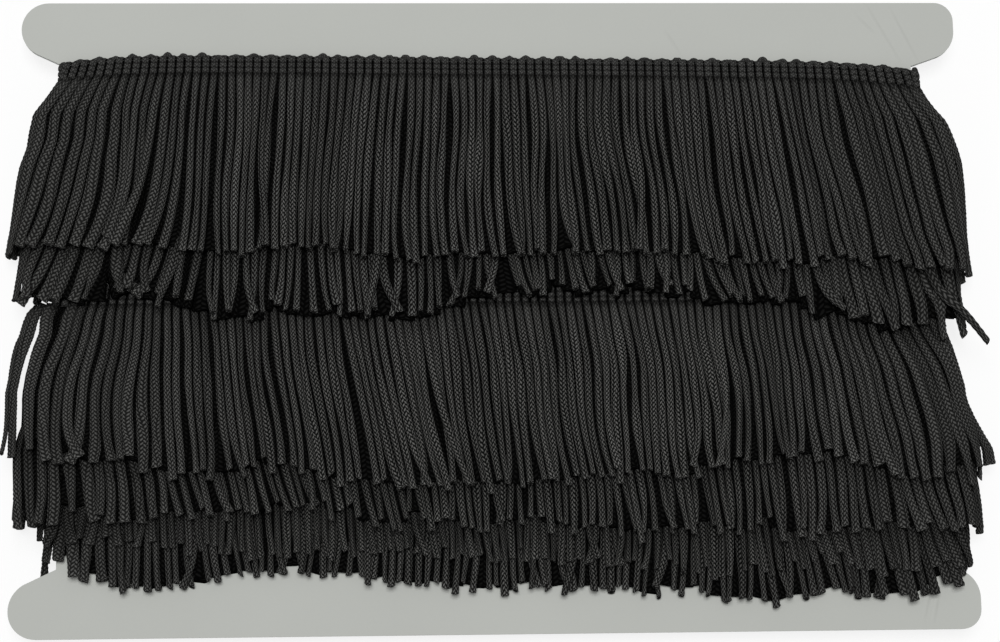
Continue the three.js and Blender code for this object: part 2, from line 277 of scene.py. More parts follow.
# %% A half turn as a surface
def place(face, k, along, lift, head, depth):
    """Points and outward directions of turn k's layer, face half or back half.

    head is where a cord leaves the heading: millimetres to the right of the card's
    middle, or past the waist, round the fold. along is where it has got to at this
    depth, on the same measure, and lift is its distance outwards from the layer.
    The spreading at a fold is a square curve of the distance from where it starts.
    """
    side = np.where(along < 0, -1.0, 1.0)
    x = np.zeros_like(along)
    z = np.zeros_like(along)
    outward_x = np.zeros_like(along)
    outward_z = np.ones_like(along) if face else -np.ones_like(along)
    folded = np.zeros(along.shape, bool)
    for s in (-1, 1):
        radius, front, back, quarter, swing = fold_facts(face, k, s, depth)
        past = np.abs(along) - WAIST
        drawn = share(past, -FLOW, QUARTER_AT_HEADING) ** 2
        if face and k == 0 and s < 0:
            drawn = 0 * drawn  # the trim's own end lies here, and nothing pulls it round
        went = past + (swing + quarter - QUARTER_AT_HEADING) * drawn
        beyond = went - swing
        angle = np.maximum(0, beyond) / quarter * (math.pi / 2)
        flat_x = WAIST + np.minimum(went, swing)
        fold_x = flat_x + radius * np.sin(angle)
        middle, half = (front + back) / 2, (front - back) / 2
        fold_z = middle + (half if face else -half) * np.cos(angle)
        here = side == s
        in_fold = here & (beyond > 0)
        x = np.where(here, s * fold_x, x)
        z = np.where(in_fold, fold_z, z)
        outward_x = np.where(in_fold, s * np.sin(angle), outward_x)
        outward_z = np.where(in_fold, (1 if face else -1) * np.cos(angle), outward_z)
        folded |= in_fold
    on_card = np.clip(head, -WAIST, WAIST)
    top = front_top(k, on_card) if face else back_top(k, on_card)
    y = top - depth
    near = np.clip(x, -WAIST, WAIST)
    layer = front_z(k, near, y) if face else back_z(k, near, y, depth)
    z = np.where(folded, z, layer)
    points = np.stack([x, y, z], -1)
    outward = np.stack([outward_x, np.zeros_like(x), outward_z], -1)
    return points + outward * lift[..., None], outward


# %% [markdown]
# ## How cords lie against each other
# Cords hang side by side and push each other about. Each row starts from where its
# cords would hang alone, with leans, partings and a little chance, and is then settled:
# at each depth, cords that are closer than their own size are pushed apart, sideways or
# one on top of the other, while each cord stays smooth along its length. That is a small
# simulation, done on whole arrays with a row for each cord and a column for each depth.
# Rigid bodies or cloth could do it too, but a thousand of them would take minutes.

# %% Sizes of a cord
PITCH = 2.35  # from one cord to the next along the heading
CORD_WIDTH, CORD_DEPTH = 2.2, 1.9  # of a cord that nothing presses
FLATTEST, ROUNDEST = 3.2, 1.85  # widths of a cord that lies flat and of one on its edge
WIDTH_VARIES, WIDTH_KNOTS, EVEN_AT_TOP = 0.33, 5, 0.3
BUNCHED = 0.26  # how much closer the cords of a bunch stand, for each place in it
# Air between cords that touch: at the top, and at each turn's tips, which are loosest.
AIR, AIR_AT_TIPS, AIR_GROWS = 0.25, (0.6, 0.5, 0.5, 0.5, 0.45), (0.75, 0.95)
LEVELS = 26  # depths at which a cord's place is worked out
CORD_START = 5.7  # cords come out from under the heading's lower seam
FACE_LIFTS = (-0.15, 2.4)  # a row on the face piles up away from the card
BACK_LIFTS = (-1.6, 0.05)  # and one behind the card up from the table
SETTLE_ROUNDS = 90
PUSH, SMOOTHING = 0.42, 0.3  # share of an overlap and of a bend taken out in each round
KEEPS_ALONG, KEEPS_LIFT = 0.02, 0.05  # and of the way back to where the cord hung alone
print("a cord is", CORD_WIDTH, "by", CORD_DEPTH, "mm, one every", PITCH, "mm of heading")

# %% [markdown]
# Chance has to be smooth along a cord and along a row, or cords would jitter. So random
# values are drawn at a few knots only, and a curve through them gives the rest.

# %% Chance for each cord
def curve_weights(knots, samples):
    """Weights that turn values at evenly spaced knots into a Catmull-Rom curve."""
    t = samples * (knots - 1)
    start = np.minimum(t.astype(int), knots - 2)
    f = t - start
    weights = np.zeros((len(samples), knots))
    rows = np.arange(len(samples))
    terms = (
        (-1, -f / 2 + f**2 - f**3 / 2),
        (0, 1 - 2.5 * f**2 + 1.5 * f**3),
        (1, f / 2 + 2 * f**2 - 1.5 * f**3),
        (2, (f**3 - f**2) / 2),
    )
    for offset, weight in terms:
        np.add.at(weights, (rows, np.clip(start + offset, 0, knots - 1)), weight)
    return weights


def drift(rng, x, apart, size, depths=4):
    """Smooth chance: random values at knots along the row and down it, joined smoothly."""
    knots = np.arange(x.min() - apart, x.max() + 2 * apart, apart)
    values = rng.normal(0, size, (depths, len(knots)))
    values[0] = 0
    along_row = np.stack([np.interp(x, knots, row) for row in values], -1)
    return along_row @ curve_weights(depths, np.linspace(0, 1, LEVELS)).T


def bunches(rng, count):
    """How many places each cord stands from the middle of its bunch of two to five."""
    which = np.repeat(np.arange(count), rng.integers(2, 6, count))[:count]
    places = np.arange(count)
    middles = np.bincount(which, places) / np.bincount(which)
    return places - middles[which]


def soft_widths(rng, count):
    """Width of each cord at each level: a soft tube lies flat here and on its edge there."""
    varied = rng.normal(0, WIDTH_VARIES, (count, WIDTH_KNOTS))
    varied[:, 0] *= EVEN_AT_TOP
    widths = CORD_WIDTH + varied @ curve_weights(WIDTH_KNOTS, np.linspace(0, 1, LEVELS)).T
    return np.clip(widths, ROUNDEST, FLATTEST)


def thickness(width):
    """A tube keeps its section's size when it is pressed flat."""
    return CORD_WIDTH * CORD_DEPTH / width


# %% [markdown]
# Two cords overlap where the distance between their middles, measured in their own
# widths and thicknesses, is under 1. Each round moves both back by part of the overlap.

# %% Settling a row of cords
def settle(along, lift, width, lifts):
    """Pushes cords that overlap apart, and keeps each smooth and near where it began.

    push = PUSH * (1 - distance) / distance, for the first, second and third neighbour.
    """
    wanted_along, wanted_lift = along.copy(), lift.copy()
    thick = thickness(width)
    for _ in range(SETTLE_ROUNDS):
        for step in (1, 2, 3):
            wide = (width[step:] + width[:-step]) / 2
            deep = (thick[step:] + thick[:-step]) / 2
            across = (along[step:] - along[:-step]) / wide
            above = (lift[step:] - lift[:-step]) / deep
            distance = np.sqrt(across**2 + above**2) + 1e-6
            push = PUSH * np.clip(1 - distance, 0, None) / distance
            along[step:] += push * across * wide / 2
            along[:-step] -= push * across * wide / 2
            lift[step:] += push * above * deep
            lift[:-step] -= push * above * deep
        for values in (along, lift):
            bend = (values[:, :-2] + values[:, 2:]) / 2 - values[:, 1:-1]
            values[:, 1:-1] += SMOOTHING * bend
        along += KEEPS_ALONG * (wanted_along - along)
        lift += KEEPS_LIFT * (wanted_lift - lift)
        lift[:] = np.clip(lift, *lifts)
        along[:, 0], lift[:, 0] = wanted_along[:, 0], wanted_lift[:, 0]
    return along, lift


# %% [markdown]
# ## The rows of cords
# The cords never hang quite evenly, so each row of tips on the face wanders. The tables
# give its height at a few places, how far the cords lean to the right by their tips,
# and where a row parts. Everything between is drawn through these or left to chance,
# with a fixed seed so that every run gives the same trim. Chance alone would give a row
# that looks combed from end to end, and a hand-placed cord each would never be done.

# %% Tips, leans and partings
# For each turn, innermost first: (x, height of the tips) along the card.
TIP_HEIGHTS = {
    0: ((-125, -71.5), (-122.8, -67), (-116, -67.5), (-114, -72.5), (-94, -75), (-75, -73.5),
        (-58, -71), (-35, -73), (-8, -75.7), (12, -75), (30, -76.5), (55, -77.5), (70, -80),
        (90, -77.5), (108, -79), (126, -73)),
    1: ((-126, -63.5), (-118, -62), (-106, -57.5), (-84, -54.5), (-68, -55.5), (-50, -53.5),
        (-30, -58), (-5, -59.8), (20, -58), (38, -62), (58, -59.3), (82, -61.5),
        (105, -61.5), (130, -60.5)),
    2: ((-118, -39.5), (-95, -42), (-75, -45), (-58, -42), (-38, -48.7), (-10, -48.7),
        (12, -48.5), (36, -45.3), (52, -47), (66, -43.8), (88, -40.5), (104, -46),
        (112, -48), (128, -41.5)),
    3: ((-127, 1.5), (-112, 1.8), (-100, 5), (-90, 3.5), (-76, -2.7), (-66, -3),
        (-53, 1), (-44, -2.7), (-31, -0.5), (-21, -4), (-12, 1.5), (2, 3.6), (26, 4),
        (38, 3.6), (54, 4.5), (60, 0), (72, 1.5), (88, 0), (100, -6), (116, -7.5), (128, -4)),
    4: ((-126, 17.0), (-112, 17.5), (-93, 18.2), (-72, 14.4), (-50, 17.3), (-22, 12.8),
        (0, 14.8), (28, 15), (50, 15), (64, 12.6), (80, 11), (96, 13), (112, 10),
        (126, 7.6)),
}
SHORT_TIPS = ((-110, -62), (-80, -64), (-58, -67.3), (-20, -66), (5, -67.5), (30, -69),
              (64, -72), (85, -69.5), (110, -71.5))
# How far the tips have swung to the right of where they hang from: (x, swing).
LEANS = {
    0: ((-118, -9.5), (-111, -5.5), (-105, 0), (-35, 3), (35, 2.5), (75, 4), (115, 5)),
    1: ((-115, 3), (-75, 8), (-35, 8.5), (0, 6.5), (35, 5.5), (115, 6)),
    2: ((-115, 0), (-75, 5), (-35, 8), (0, 6.5), (35, 5.5), (75, 6), (115, 6)),
    3: ((-115, -2), (-75, -1), (-35, 3), (0, 5), (75, 4), (115, 3)),
    4: ((-115, -5), (-75, -3), (-35, -3.5), (0, 0.5), (35, 3), (75, 7), (115, 4)),
}
HANGS_STRAIGHT = ((-WAIST, 0), (WAIST, 0))
# Partings: turn, where, how wide, and the depth from which the cords part.
PARTINGS = (
    (4, -84, 1.2, 30), (4, -60, 1.0, 22), (4, -20, 2.2, 24),
    (4, -8, 1.2, 30), (4, 3, 1.0, 16), (4, 27, 1.8, 12), (4, 44, 1.0, 25),
    (4, 58, 1.8, 10), (4, 78, 1.2, 14), (4, 94, 1.8, 8),
    (3, -79, 1.2, 35), (3, -62, 0.9, 35), (3, -13, 0.8, 32), (3, 70, 0.9, 30),
    (2, -92, 1.3, 18), (2, -64, 1.3, 20), (2, -42, 1.2, 14), (2, -12, 1.6, 24),
    (2, 8, 1.1, 16), (2, 36, 1.8, 14), (2, 56, 1.3, 12), (2, 84, 1.1, 20),
    (2, 103, 0.5, 22),
    (1, -72, 1.0, 30), (1, -48, 0.7, 35), (1, -3, 1.0, 32),
    (1, 24, 0.7, 38), (1, 46, 0.9, 36), (1, 74, 0.8, 34),
    (0, -98, 0.5, 38), (0, -60, 0.4, 40), (0, 26, 0.5, 40), (0, 98, 0.4, 36),
)
PARTING_REACH, PARTING_OPENS = 8.0, 0.3
PARTING_GROWS = (-6, 12)  # round the depth from which the cords part
print(len(PARTINGS), "partings in", len(TIP_HEIGHTS), "rows on the face")

# %% [markdown]
# The rest of a row is chance, in millimetres: some cords hang a little longer than their
# neighbours, drift or sway to a side, stand in bunches, or curl at the tip. Beside a
# fold they keep still, because there they are stretched over the edge of the card.

# %% How unlike each other cords hang
UNEVEN = (1.1, 1.4, 1.2, 1.6, 0.9)  # for each turn, how unlike in length its cords are
UNEVEN_SHORTER = 0.4  # share of it by which they end above the table's heights
BACK_UNEVEN, BACK_WANDERS, BACK_WANDER_APART = 1.0, 1.2, 12
BACK_SHORTER, BACK_SHORTER_FROM = (0, 0, 4, 0, 0), WAIST - 10  # at the left fold
CURLS, CURL_LIFTS, CURL_FROM = (1.0, 1.0, 0.8, 1.7, 0.8), (-0.3, 0.9), 0.86
STARTS_VARY = 0.6
LEAN_CURVE = 1.15
DRIFTS = ((22, 0.8), (7, 0.5))  # a slow one and a quick one: (apart, size)
SWAY, SWAY_CURVE = 0.4, 1.5
BUNCHES_FORM = (7, 16)  # between these depths
LIFT_DRIFT, LIFT_SWAY = (4, 0.35), 0.6
RAISED_OVER = 10.0
STILL_AT_FOLDS, STILL_FROM, STILL_TO = 0.85, WAIST - 8, WAIST + 2
print("cords of a row differ in length by about", UNEVEN, "mm")

# %% [markdown]
# A row starts as straight cords, one every pitch, and each effect above adds its own few
# millimetres at each depth. All are added as whole arrays, so the order of the lines is
# also the order in which chance is drawn.

# %% Where the cords of a row hang
def evenly(start, end):
    """Where cords leave a stretch of heading: evenly spaced, half a pitch from its ends."""
    count = max(1, round((end - start) / PITCH))
    return start + (np.arange(count) + 0.5) * (end - start) / count


def row_of_cords(rng, face, k, heads, tip_heights=None, raised=0.0):
    """Depth, place along and lift of each cord of a half turn, at each level.

    along = head + lean * fallen ** 1.15 + partings + drift + sway - bunching + curl.
    """
    count = len(heads)
    on_card = np.clip(heads, -WAIST, WAIST)
    leans = np.interp(on_card, *np.array(LEANS[k] if face else HANGS_STRAIGHT).T)
    top = front_top(k, on_card) if face else back_top(k, on_card)
    if tip_heights is None:
        knots = np.arange(-150, 151, BACK_WANDER_APART)
        wander = np.interp(heads, knots, rng.normal(0, 1, len(knots)))
        tips = np.full(count, TRIM_WIDTH) + BACK_WANDERS * wander
        tips -= BACK_SHORTER[k] * share(-heads, BACK_SHORTER_FROM, WAIST)
    else:
        places, heights = np.array(tip_heights).T
        tips = top - np.interp(heads + leans, places, heights)
    uneven = UNEVEN[k] if face else BACK_UNEVEN
    tips = tips - UNEVEN_SHORTER * uneven + rng.normal(0, uneven, count)
    level = np.linspace(0, 1, LEVELS)
    first = CORD_START - rng.uniform(0, STARTS_VARY, (count, 1))  # stitches don't line up
    depth = first + (tips[:, None] - first) * level
    fallen = share(depth, HEADING_HEIGHT, TRIM_WIDTH)
    along = heads[:, None] + leans[:, None] * fallen**LEAN_CURVE
    for turn, where, width, opens in PARTINGS:
        if face and turn == k:
            away = heads - where
            pushed = np.sign(away) * PARTING_OPENS * width * np.exp(-np.abs(away) / PARTING_REACH)
            along += pushed[:, None] * share(depth, *(opens + grows for grows in PARTING_GROWS))
    calm = 1 - STILL_AT_FOLDS * share(np.abs(heads), STILL_FROM, STILL_TO)[:, None]
    along += calm * sum(drift(rng, heads, *wave) for wave in DRIFTS)
    along += calm * rng.normal(0, SWAY, (count, 1)) * fallen**SWAY_CURVE
    along -= calm * BUNCHED * bunches(rng, count)[:, None] * share(depth, *BUNCHES_FORM)
    lift = np.abs(drift(rng, heads, *LIFT_DRIFT)) + rng.uniform(0, LIFT_SWAY, (count, 1)) * fallen
    lift += raised * share(depth, HEADING_HEIGHT, HEADING_HEIGHT + RAISED_OVER)
    curl = share(level, CURL_FROM, 1)[None, :] ** 2
    along += calm * rng.normal(0, CURLS[k], (count, 1)) * curl
    lift += rng.uniform(*CURL_LIFTS, (count, 1)) * curl
    return depth, along, lift if face else -lift


# %% [markdown]
# A few cords have swung free and lie across their neighbours, and beside the folds some
# hang right off the row. They are what makes a hand-wound card look real, and chance
# would not put them in good places, so two short tables name them. A stray of the first
# table moves along the row before it is laid on the card. A cord of the second is moved
# straight across, because along the row it would go round the fold.

# %% Strays
# Turn, head, swing to the right, lift, how late it bends.
STRAYS = (
    (3, -119.5, -0.3, 1.0, 2.0), (3, 110, 0.0, 1.0, 1.2),
    (3, -82, -5.0, 2.2, 1.6), (3, -100, 3.2, 2.1, 1.6), (3, -30, -5.5, 2.1, 1.8),
    (4, -62, 3.2, 2.0, 2.0), (4, -98, 2.4, 1.9, 2.4), (4, -90, -3.2, 2.0, 2.2),
    (2, 60, -5.0, 2.0, 2.0), (2, -20, 4.5, 2.0, 2.0), (4, 40, -4.0, 2.0, 2.4),
)
CLOSES_UP, CLOSING_REACH = 0.9, 9.0
# Beside a fold: turn, head, rise, fall, and (depth, swing to the right).
FREED = (
    (2, -114.5, 0.4, 0, ((2, 0), (5.5, -3.2), (8, -3.2), (14, -1.4), (26, -0.3), (50, 0))),
    (2, -117, 0.8, 0, ((2, 0), (5.5, -3.4), (8, -4.1), (14, -3.5), (26, -2.9), (50, -2.5))),
    (2, -119.5, 1.6, 0, ((2, 0), (5.5, -4.6), (8, -5.6), (14, -4.4), (26, -3.6), (50, -3.5))),
    (3, 110, 2.5, 4.0, ((46, 0), (53, 1.5), (67, 13.0))),
    (3, 105.2, 0, 0, ((40, 0), (67, 1.6))), (3, 107.6, 0, 0, ((40, 0), (52, 1.6), (67, 3.2))),
    (3, 112.4, 0, 0, ((40, 0), (52, -1.6), (67, -3.4))), (3, 114.8, 0, 0, ((40, 0), (67, -1.8))),
    (2, 117, 1.0, 0, ((34, 0), (47, 2.0))), (2, 119.5, 1.5, 0, ((33, 0), (47, 4.2))),
    (1, 117, 1.0, 0, ((40, 0), (56, 2.2))), (1, 119.5, 1.0, 0, ((44, 0), (56, 3.2))),
)
print(len(STRAYS), "strays on the rows and", len(FREED), "cords that hang off beside a fold")


def swung_free(k, heads, depth):
    """Offsets in millimetres, straight to the right and up, of the freed cords of a turn."""
    offset = np.zeros(depth.shape + (3,))
    for turn, head, rise, fall, swings in FREED:
        if turn == k:
            i = int(np.argmin(np.abs(heads - head)))
            places, swing = np.array(swings).T
            gone = share(depth[i], places[0], places[-1])
            offset[i] = np.stack([np.interp(depth[i], places, swing), -fall * gone, rise * gone], -1)
    return offset


def with_strays(k, heads, depth, along, lift):
    """Swings the cord nearest to each stray's head, and its neighbours close up beneath.

    Each moves by its swing, lift or closing * (share of the depth) ** late.
    """
    fallen = share(depth, CORD_START - 1, TRIM_WIDTH)
    for turn, head, swing, raised, late in STRAYS:
        if turn == k:
            away = (heads - heads[np.argmin(np.abs(heads - head))])[:, None]
            closer = CLOSES_UP * np.sign(away) * np.exp(-np.abs(away) / CLOSING_REACH)
            along -= closer * fallen**late
            along += np.where(away == 0, swing, 0) * fallen**late
            lift += np.where(away == 0, raised, 0) * fallen**late
    return along, lift


# %% [markdown]
# ## A cord as a tube
# Each cord is a tube knitted on six needles, flattened because it lies down and pressed
# nearly square by its neighbours. Its surface is a grid: round the tube by along the
# cord. Each ring stands square to the cord, which a Curve with a bevel would do as well,
# but only a surface made here can have a stitch in every ring and its own UV map.

# %% A tube along a line
SIDES = 8
SQUARENESS = 0.72


def unit(vectors):
    """Vectors divided by their own length."""
    return vectors / np.maximum(np.linalg.norm(vectors, axis=-1, keepdims=True), 1e-9)


def squared(part):
    """A sine or cosine raised to SQUARENESS, with its sign kept."""
    return np.sign(part) * np.abs(part) ** SQUARENESS


def sweep(centres, outward, half_width, half_depth, spin, relief, sides=SIDES):
    """Rings of a tube: an ellipse carried along a line, its flat side facing outwards.

    A ring's point is centre + cos(angle) * width * sideways + sin(angle) * depth * out,
    with cosine and sine raised to SQUARENESS, which flattens the ellipse's four sides.
    spin adds to the angle, so that the knitting turns while the flat side stays.
    """
    forward = unit(np.gradient(centres, axis=1))
    sideways = unit(np.cross(forward, outward))
    out = np.cross(sideways, forward)
    angle = np.arange(sides) * 2 * math.pi / sides + spin[..., None]
    wide = (squared(np.cos(angle)) * (half_width[..., None] + relief))[..., None]
    deep = (squared(np.sin(angle)) * (half_depth[..., None] + relief))[..., None]
    ring = wide * sideways[..., None, :] + deep * out[..., None, :]
    return centres[..., None, :] + ring


# %% [markdown]
# All cords of a row are computed at once as one array and go into one mesh, because they
# share one finish and never move apart. `foreach_set` hands whole arrays to Blender,
# which is far quicker than adding tubes one by one. Each point also keeps two numbers
# for the yarn's material: its tone, which carries painted shade, and how far the knitting is pulled
# smooth.

# %% A mesh of tubes
def from_card(points):
    """Millimetres from the card's middle, as metres in the frame."""
    return points * MM + np.array([card_middle.x, card_middle.y, 0])


def tubes(name, rings, stitch_at, tone_and_shade, material, pulled=0.0):
    """One mesh of closed tubes from rings (cords, rings, sides, 3) in millimetres.

    Point s of ring r joins point s + 1 and ring r + 1 in a four-sided face, and one face
    closes each end. U is s / sides, and V counts stitches from the heading.
    """
    cords, count, sides, _ = rings.shape
    c, r, s = np.ogrid[:cords, : count - 1, :sides]
    first = (c * count + r) * sides
    after = first + sides
    following = (s + 1) % sides
    quads = np.stack([first + s, after + s, after + following, first + following], -1)
    start = (np.arange(cords) * count * sides)[:, None] + np.arange(sides)
    end = (start + (count - 1) * sides)[:, ::-1]
    corners = np.concatenate([quads.ravel(), start.ravel(), end.ravel()])
    quad_count, cap_count = cords * (count - 1) * sides, 2 * cords
    totals = np.concatenate([np.full(quad_count, 4), np.full(cap_count, sides)])
    mesh = bpy.data.meshes.new(name)
    mesh.vertices.add(rings.size // 3)
    mesh.vertices.foreach_set("co", from_card(rings).ravel())
    mesh.loops.add(len(corners))
    mesh.loops.foreach_set("vertex_index", corners)
    mesh.polygons.add(len(totals))
    mesh.polygons.foreach_set("loop_start", np.concatenate([[0], np.cumsum(totals)[:-1]]))
    mesh.polygons.foreach_set("use_smooth", np.ones(len(totals), bool))
    round_it = np.stack([s, s, s + 1, s + 1], -1) / sides + 0 * quads
    stitches = np.broadcast_to(stitch_at, (cords, count))
    low, high = stitches[:, :-1, None], stitches[:, 1:, None]
    length = np.stack([low, high, high, low], -1) + 0 * quads
    uv = np.stack([round_it, length], -1).reshape(-1, 2)
    caps = np.concatenate([np.repeat(stitches[:, 0], sides), np.repeat(stitches[:, -1], sides)])
    uv = np.concatenate([uv, np.stack([0 * caps, caps], -1)])
    mesh.uv_layers.new(name="cord").data.foreach_set("uv", uv.ravel())
    tone_and_shade = tone_and_shade if tone_and_shade.ndim == 2 else tone_and_shade[:, None]
    for label, values in (("tone_and_shade", tone_and_shade), ("pulled", np.asarray(pulled))):
        values = np.repeat(np.broadcast_to(values, (cords, count)), sides)
        attribute = mesh.attributes.new(label, "FLOAT", "POINT")
        attribute.data.foreach_set("value", values.astype(np.float32))
    mesh.update()
    mesh.validate()
    mesh.materials.append(material)
    print(name, "has", cords, "tubes and", quad_count * 2 + cap_count * (sides - 2), "triangles")
    return add_object(name, mesh)


# %% [markdown]
# A soft cord fills the room it has: pressed in a bunch it stands on its edge, and where a
# fold spreads the row it lies flat. Where another row covers a cord, its rings are far
# apart, because nobody can see them there.

# %% Widths and rings of a cord
STITCHES = 41  # knitted loops along a cord
HIDDEN_STEP = 8  # half stitches from ring to ring where a row is covered
SPREAD_FROM, SPREAD_TO = WAIST - 40, WAIST - 20
SPREAD_WIDEST = 3.9  # cords flatten to fill the room where a fold spreads them
ROOM_FILLED, ROOM_FILLED_BEHIND = 0.89, 1.3
ROOM_EVENED = 6  # times that a cord's room is averaged along it
SWUNG_FREE = (4.7, 6.0)  # but with this much room a cord has left the row


def room_for(centres):
    """Half the way from each cord to both neighbours, at each ring, evened out."""
    apart = np.linalg.norm(np.diff(centres, axis=0), axis=-1)
    apart = np.concatenate([apart[:1], apart, apart[-1:]])
    room = (apart[:-1] + apart[1:]) / 2
    for _ in range(ROOM_EVENED):
        room[:, 1:-1] = (room[:, :-2] + 2 * room[:, 1:-1] + room[:, 2:]) / 4
    return room


def ring_steps(shown_from, fine_step):
    """Half stitches that get a ring: few of them, then one in fine_step where a row shows."""
    first_shown = round(shown_from * 2 * STITCHES / HIDDEN_STEP) * HIDDEN_STEP
    hidden = np.arange(0, first_shown, HIDDEN_STEP)
    return np.concatenate([hidden, np.arange(first_shown, 2 * STITCHES + 1, fine_step)]), first_shown


def cord_widths(width, room, x, thick):
    """Width of each ring: beside a fold it grows to fill the room, or past it behind a row."""
    if thick is None:
        spread = np.maximum(width, np.minimum(ROOM_FILLED * room, SPREAD_WIDEST))
        spread = lerp(spread, width, share(room, *SWUNG_FREE))
    else:
        spread = np.maximum(width, ROOM_FILLED_BEHIND * room)
    return lerp(width, spread, share(np.abs(x), SPREAD_FROM, SPREAD_TO))


# %% [markdown]
# Cords are cut with scissors, so a tip is a little aslant and wider than the cord, and
# two smaller rings close it.

# %% Tips
TIP_FROM, TIP_SWELLS, CUT_SLANT = 0.96, 0.05, 0.25
TIP_RINGS = ((0.2, 0.9, 0.4), (0.3, 0.5, 0.7))  # past the last ring, size, stitches past


def closed_tip(rng, rings, centres):
    """Cuts each cord's last ring a little aslant and adds the smaller rings that close it."""
    count, sides = rings.shape[0], rings.shape[2]
    forward = unit(centres[:, -1] - centres[:, -2])[:, None, None, :]
    angle = np.arange(sides) * 2 * math.pi / sides
    slant = rng.normal(0, CUT_SLANT, (2, count, 1, 1))
    cut = slant[0] * np.cos(angle) + slant[1] * np.sin(angle)
    rings[:, -1:] += cut[..., None] * forward
    last, centre = rings[:, -1:], centres[:, -1:, None, :]
    closing = [centre + (last - centre) * size + forward * past for past, size, _ in TIP_RINGS]
    return np.concatenate([rings, *closing], 1)


# %% [markdown]
# Now the tubes. A cord's stitches show as rings that go in and out from one half stitch
# to the next, out of step between neighbouring columns of the grid, and rougher where
# the tip frays. A displacement modifier could raise them from a pattern, but it would
# need many more faces to catch it.

# %% The cords of a row as tubes
RELIEF, ROUGH, ROUGHER_TIPS = 0.06, 0.25, 2.0
TWIST, TWIST_KNOTS = 0.4, 6
TABLE_TOUCH = 0.03  # lowest point of a cord that lies on the table


def cord_rings(rng, face, k, heads, row, shown_from=0.0, sides=SIDES, fine_step=1, thick=None):
    """The tubes of a row. Below shown_from (a share of the length) every stitch is made.

    radius = half the width or thickness + RELIEF * (1 or -1 by turns + roughness).
    """
    depth, along, lift, width = row
    steps, first_shown = ring_steps(shown_from, fine_step)
    at = steps / (2 * STITCHES)
    to_rings = curve_weights(LEVELS, at).T
    head_x = heads[:, None] + 0 * at
    centres, outward = place(
        face, k, along @ to_rings, lift @ to_rings, head_x, depth @ to_rings
    )
    if face and thick is None:
        centres = centres + swung_free(k, heads, depth @ to_rings)
    count = len(heads)
    knots = curve_weights(TWIST_KNOTS, at).T
    spin = rng.uniform(0, math.pi, (count, 1))
    spin = spin + TWIST * (rng.normal(0, 1, (count, TWIST_KNOTS)) @ knots)
    width = cord_widths(width @ to_rings, room_for(centres), centres[..., 0], thick)
    tip = 1 + TIP_SWELLS * share(at, TIP_FROM, 1)
    half_width = (width - lerp(AIR, AIR_AT_TIPS[k], share(at, *AIR_GROWS))) / 2 * tip
    half_depth = (thickness(width) if thick is None else thick + 0 * width) / 2 * tip
    made = (steps >= first_shown) if fine_step == 1 else np.zeros(len(steps), bool)
    column = np.arange(sides)
    in_and_out = np.where((steps[:, None] + column) % 2 == 1, 1, -1) * made[:, None]
    rough = rng.normal(0, ROUGH, (count, len(steps), sides)) * made[None, :, None]
    rough *= 1 + ROUGHER_TIPS * share(at, TIP_FROM, 1)[:, None]
    relief = RELIEF * (in_and_out[None] + rough)
    rings = sweep(centres, outward, half_width, half_depth, spin, relief, sides)
    rings = closed_tip(rng, rings, centres)
    rings[..., 2] = np.maximum(rings[..., 2], TABLE_TOUCH)
    past_tip = np.array([stitches for _, _, stitches in TIP_RINGS])
    stitch_at = np.concatenate([steps / 2, steps[-1] / 2 + past_tip])
    return rings, stitch_at


# %% [markdown]
# ## Helpers for materials
# A material is a tree of nodes. Three small helpers make a node, a sum and a group with
# named sockets, so that a formula reads from top to bottom. Building the trees by mouse
# would give the same result, but nobody could read or change it here.

# %% Helpers for node trees
def add_node(tree, kind, inputs=(), **settings):
    """A node with its settings, and its inputs linked or set in order (None skips one)."""
    node = tree.nodes.new(kind)
    for name, value in settings.items():
        setattr(node, name, value)
    for socket, value in zip(node.inputs, inputs):
        if value is None:
            continue
        if isinstance(value, bpy.types.NodeSocket):
            tree.links.new(value, socket)
        else:
            socket.default_value = value
    return node


def maths(tree, operation, *inputs, clamp=False):
    """The output of a Math node: one step of a formula."""
    return add_node(tree, "ShaderNodeMath", inputs, operation=operation, use_clamp=clamp).outputs[0]


def new_group(name, inputs, outputs):
    """An empty node group with its sockets, and its two end nodes."""
    group = bpy.data.node_groups.new(name, "ShaderNodeTree")
    for label, kind, default in inputs:
        socket = group.interface.new_socket(label, in_out="INPUT", socket_type=kind)
        if default is not None:
            socket.default_value = default
    for label, kind in outputs:
        group.interface.new_socket(label, in_out="OUTPUT", socket_type=kind)
    start = group.nodes.new("NodeGroupInput")
    end = group.nodes.new("NodeGroupOutput")
    return group, start, end


# %% [markdown]
# Yarn and board are finished in the same way: one colour that a pattern makes lighter
# or darker, and a small bump. So the steps are written once, as helpers with the
# Principled shader of each material.

# %% Helpers for finishes
def new_material(name, roughness, specular):
    """A material, its tree and its Principled shader."""
    material = bpy.data.materials.new(name)
    material.use_nodes = True
    shader = material.node_tree.nodes["Principled BSDF"]
    shader.inputs["Roughness"].default_value = roughness
    shader.inputs["Specular IOR Level"].default_value = specular
    return material, material.node_tree, shader


def paint(tree, shader, colour, strength):
    """Base Color = colour * strength."""
    toned = add_node(tree, "ShaderNodeMix", data_type="RGBA", blend_type="MULTIPLY")
    toned.inputs["Factor"].default_value = 1
    if isinstance(colour, bpy.types.NodeSocket):
        tree.links.new(colour, toned.inputs["A"])
    else:
        toned.inputs["A"].default_value = colour
    grey = add_node(tree, "ShaderNodeCombineColor", [strength, strength, strength])
    tree.links.new(grey.outputs["Color"], toned.inputs["B"])
    tree.links.new(toned.outputs["Result"], shader.inputs["Base Color"])


def emboss(tree, shader, height, strength, depth_mm):
    """Normal = a bump of this height, strength and depth."""
    bump = add_node(tree, "ShaderNodeBump")
    bump.inputs["Strength"].default_value = strength
    bump.inputs["Distance"].default_value = depth_mm * MM
    tree.links.new(height, bump.inputs["Height"])
    tree.links.new(bump.outputs["Normal"], shader.inputs["Normal"])


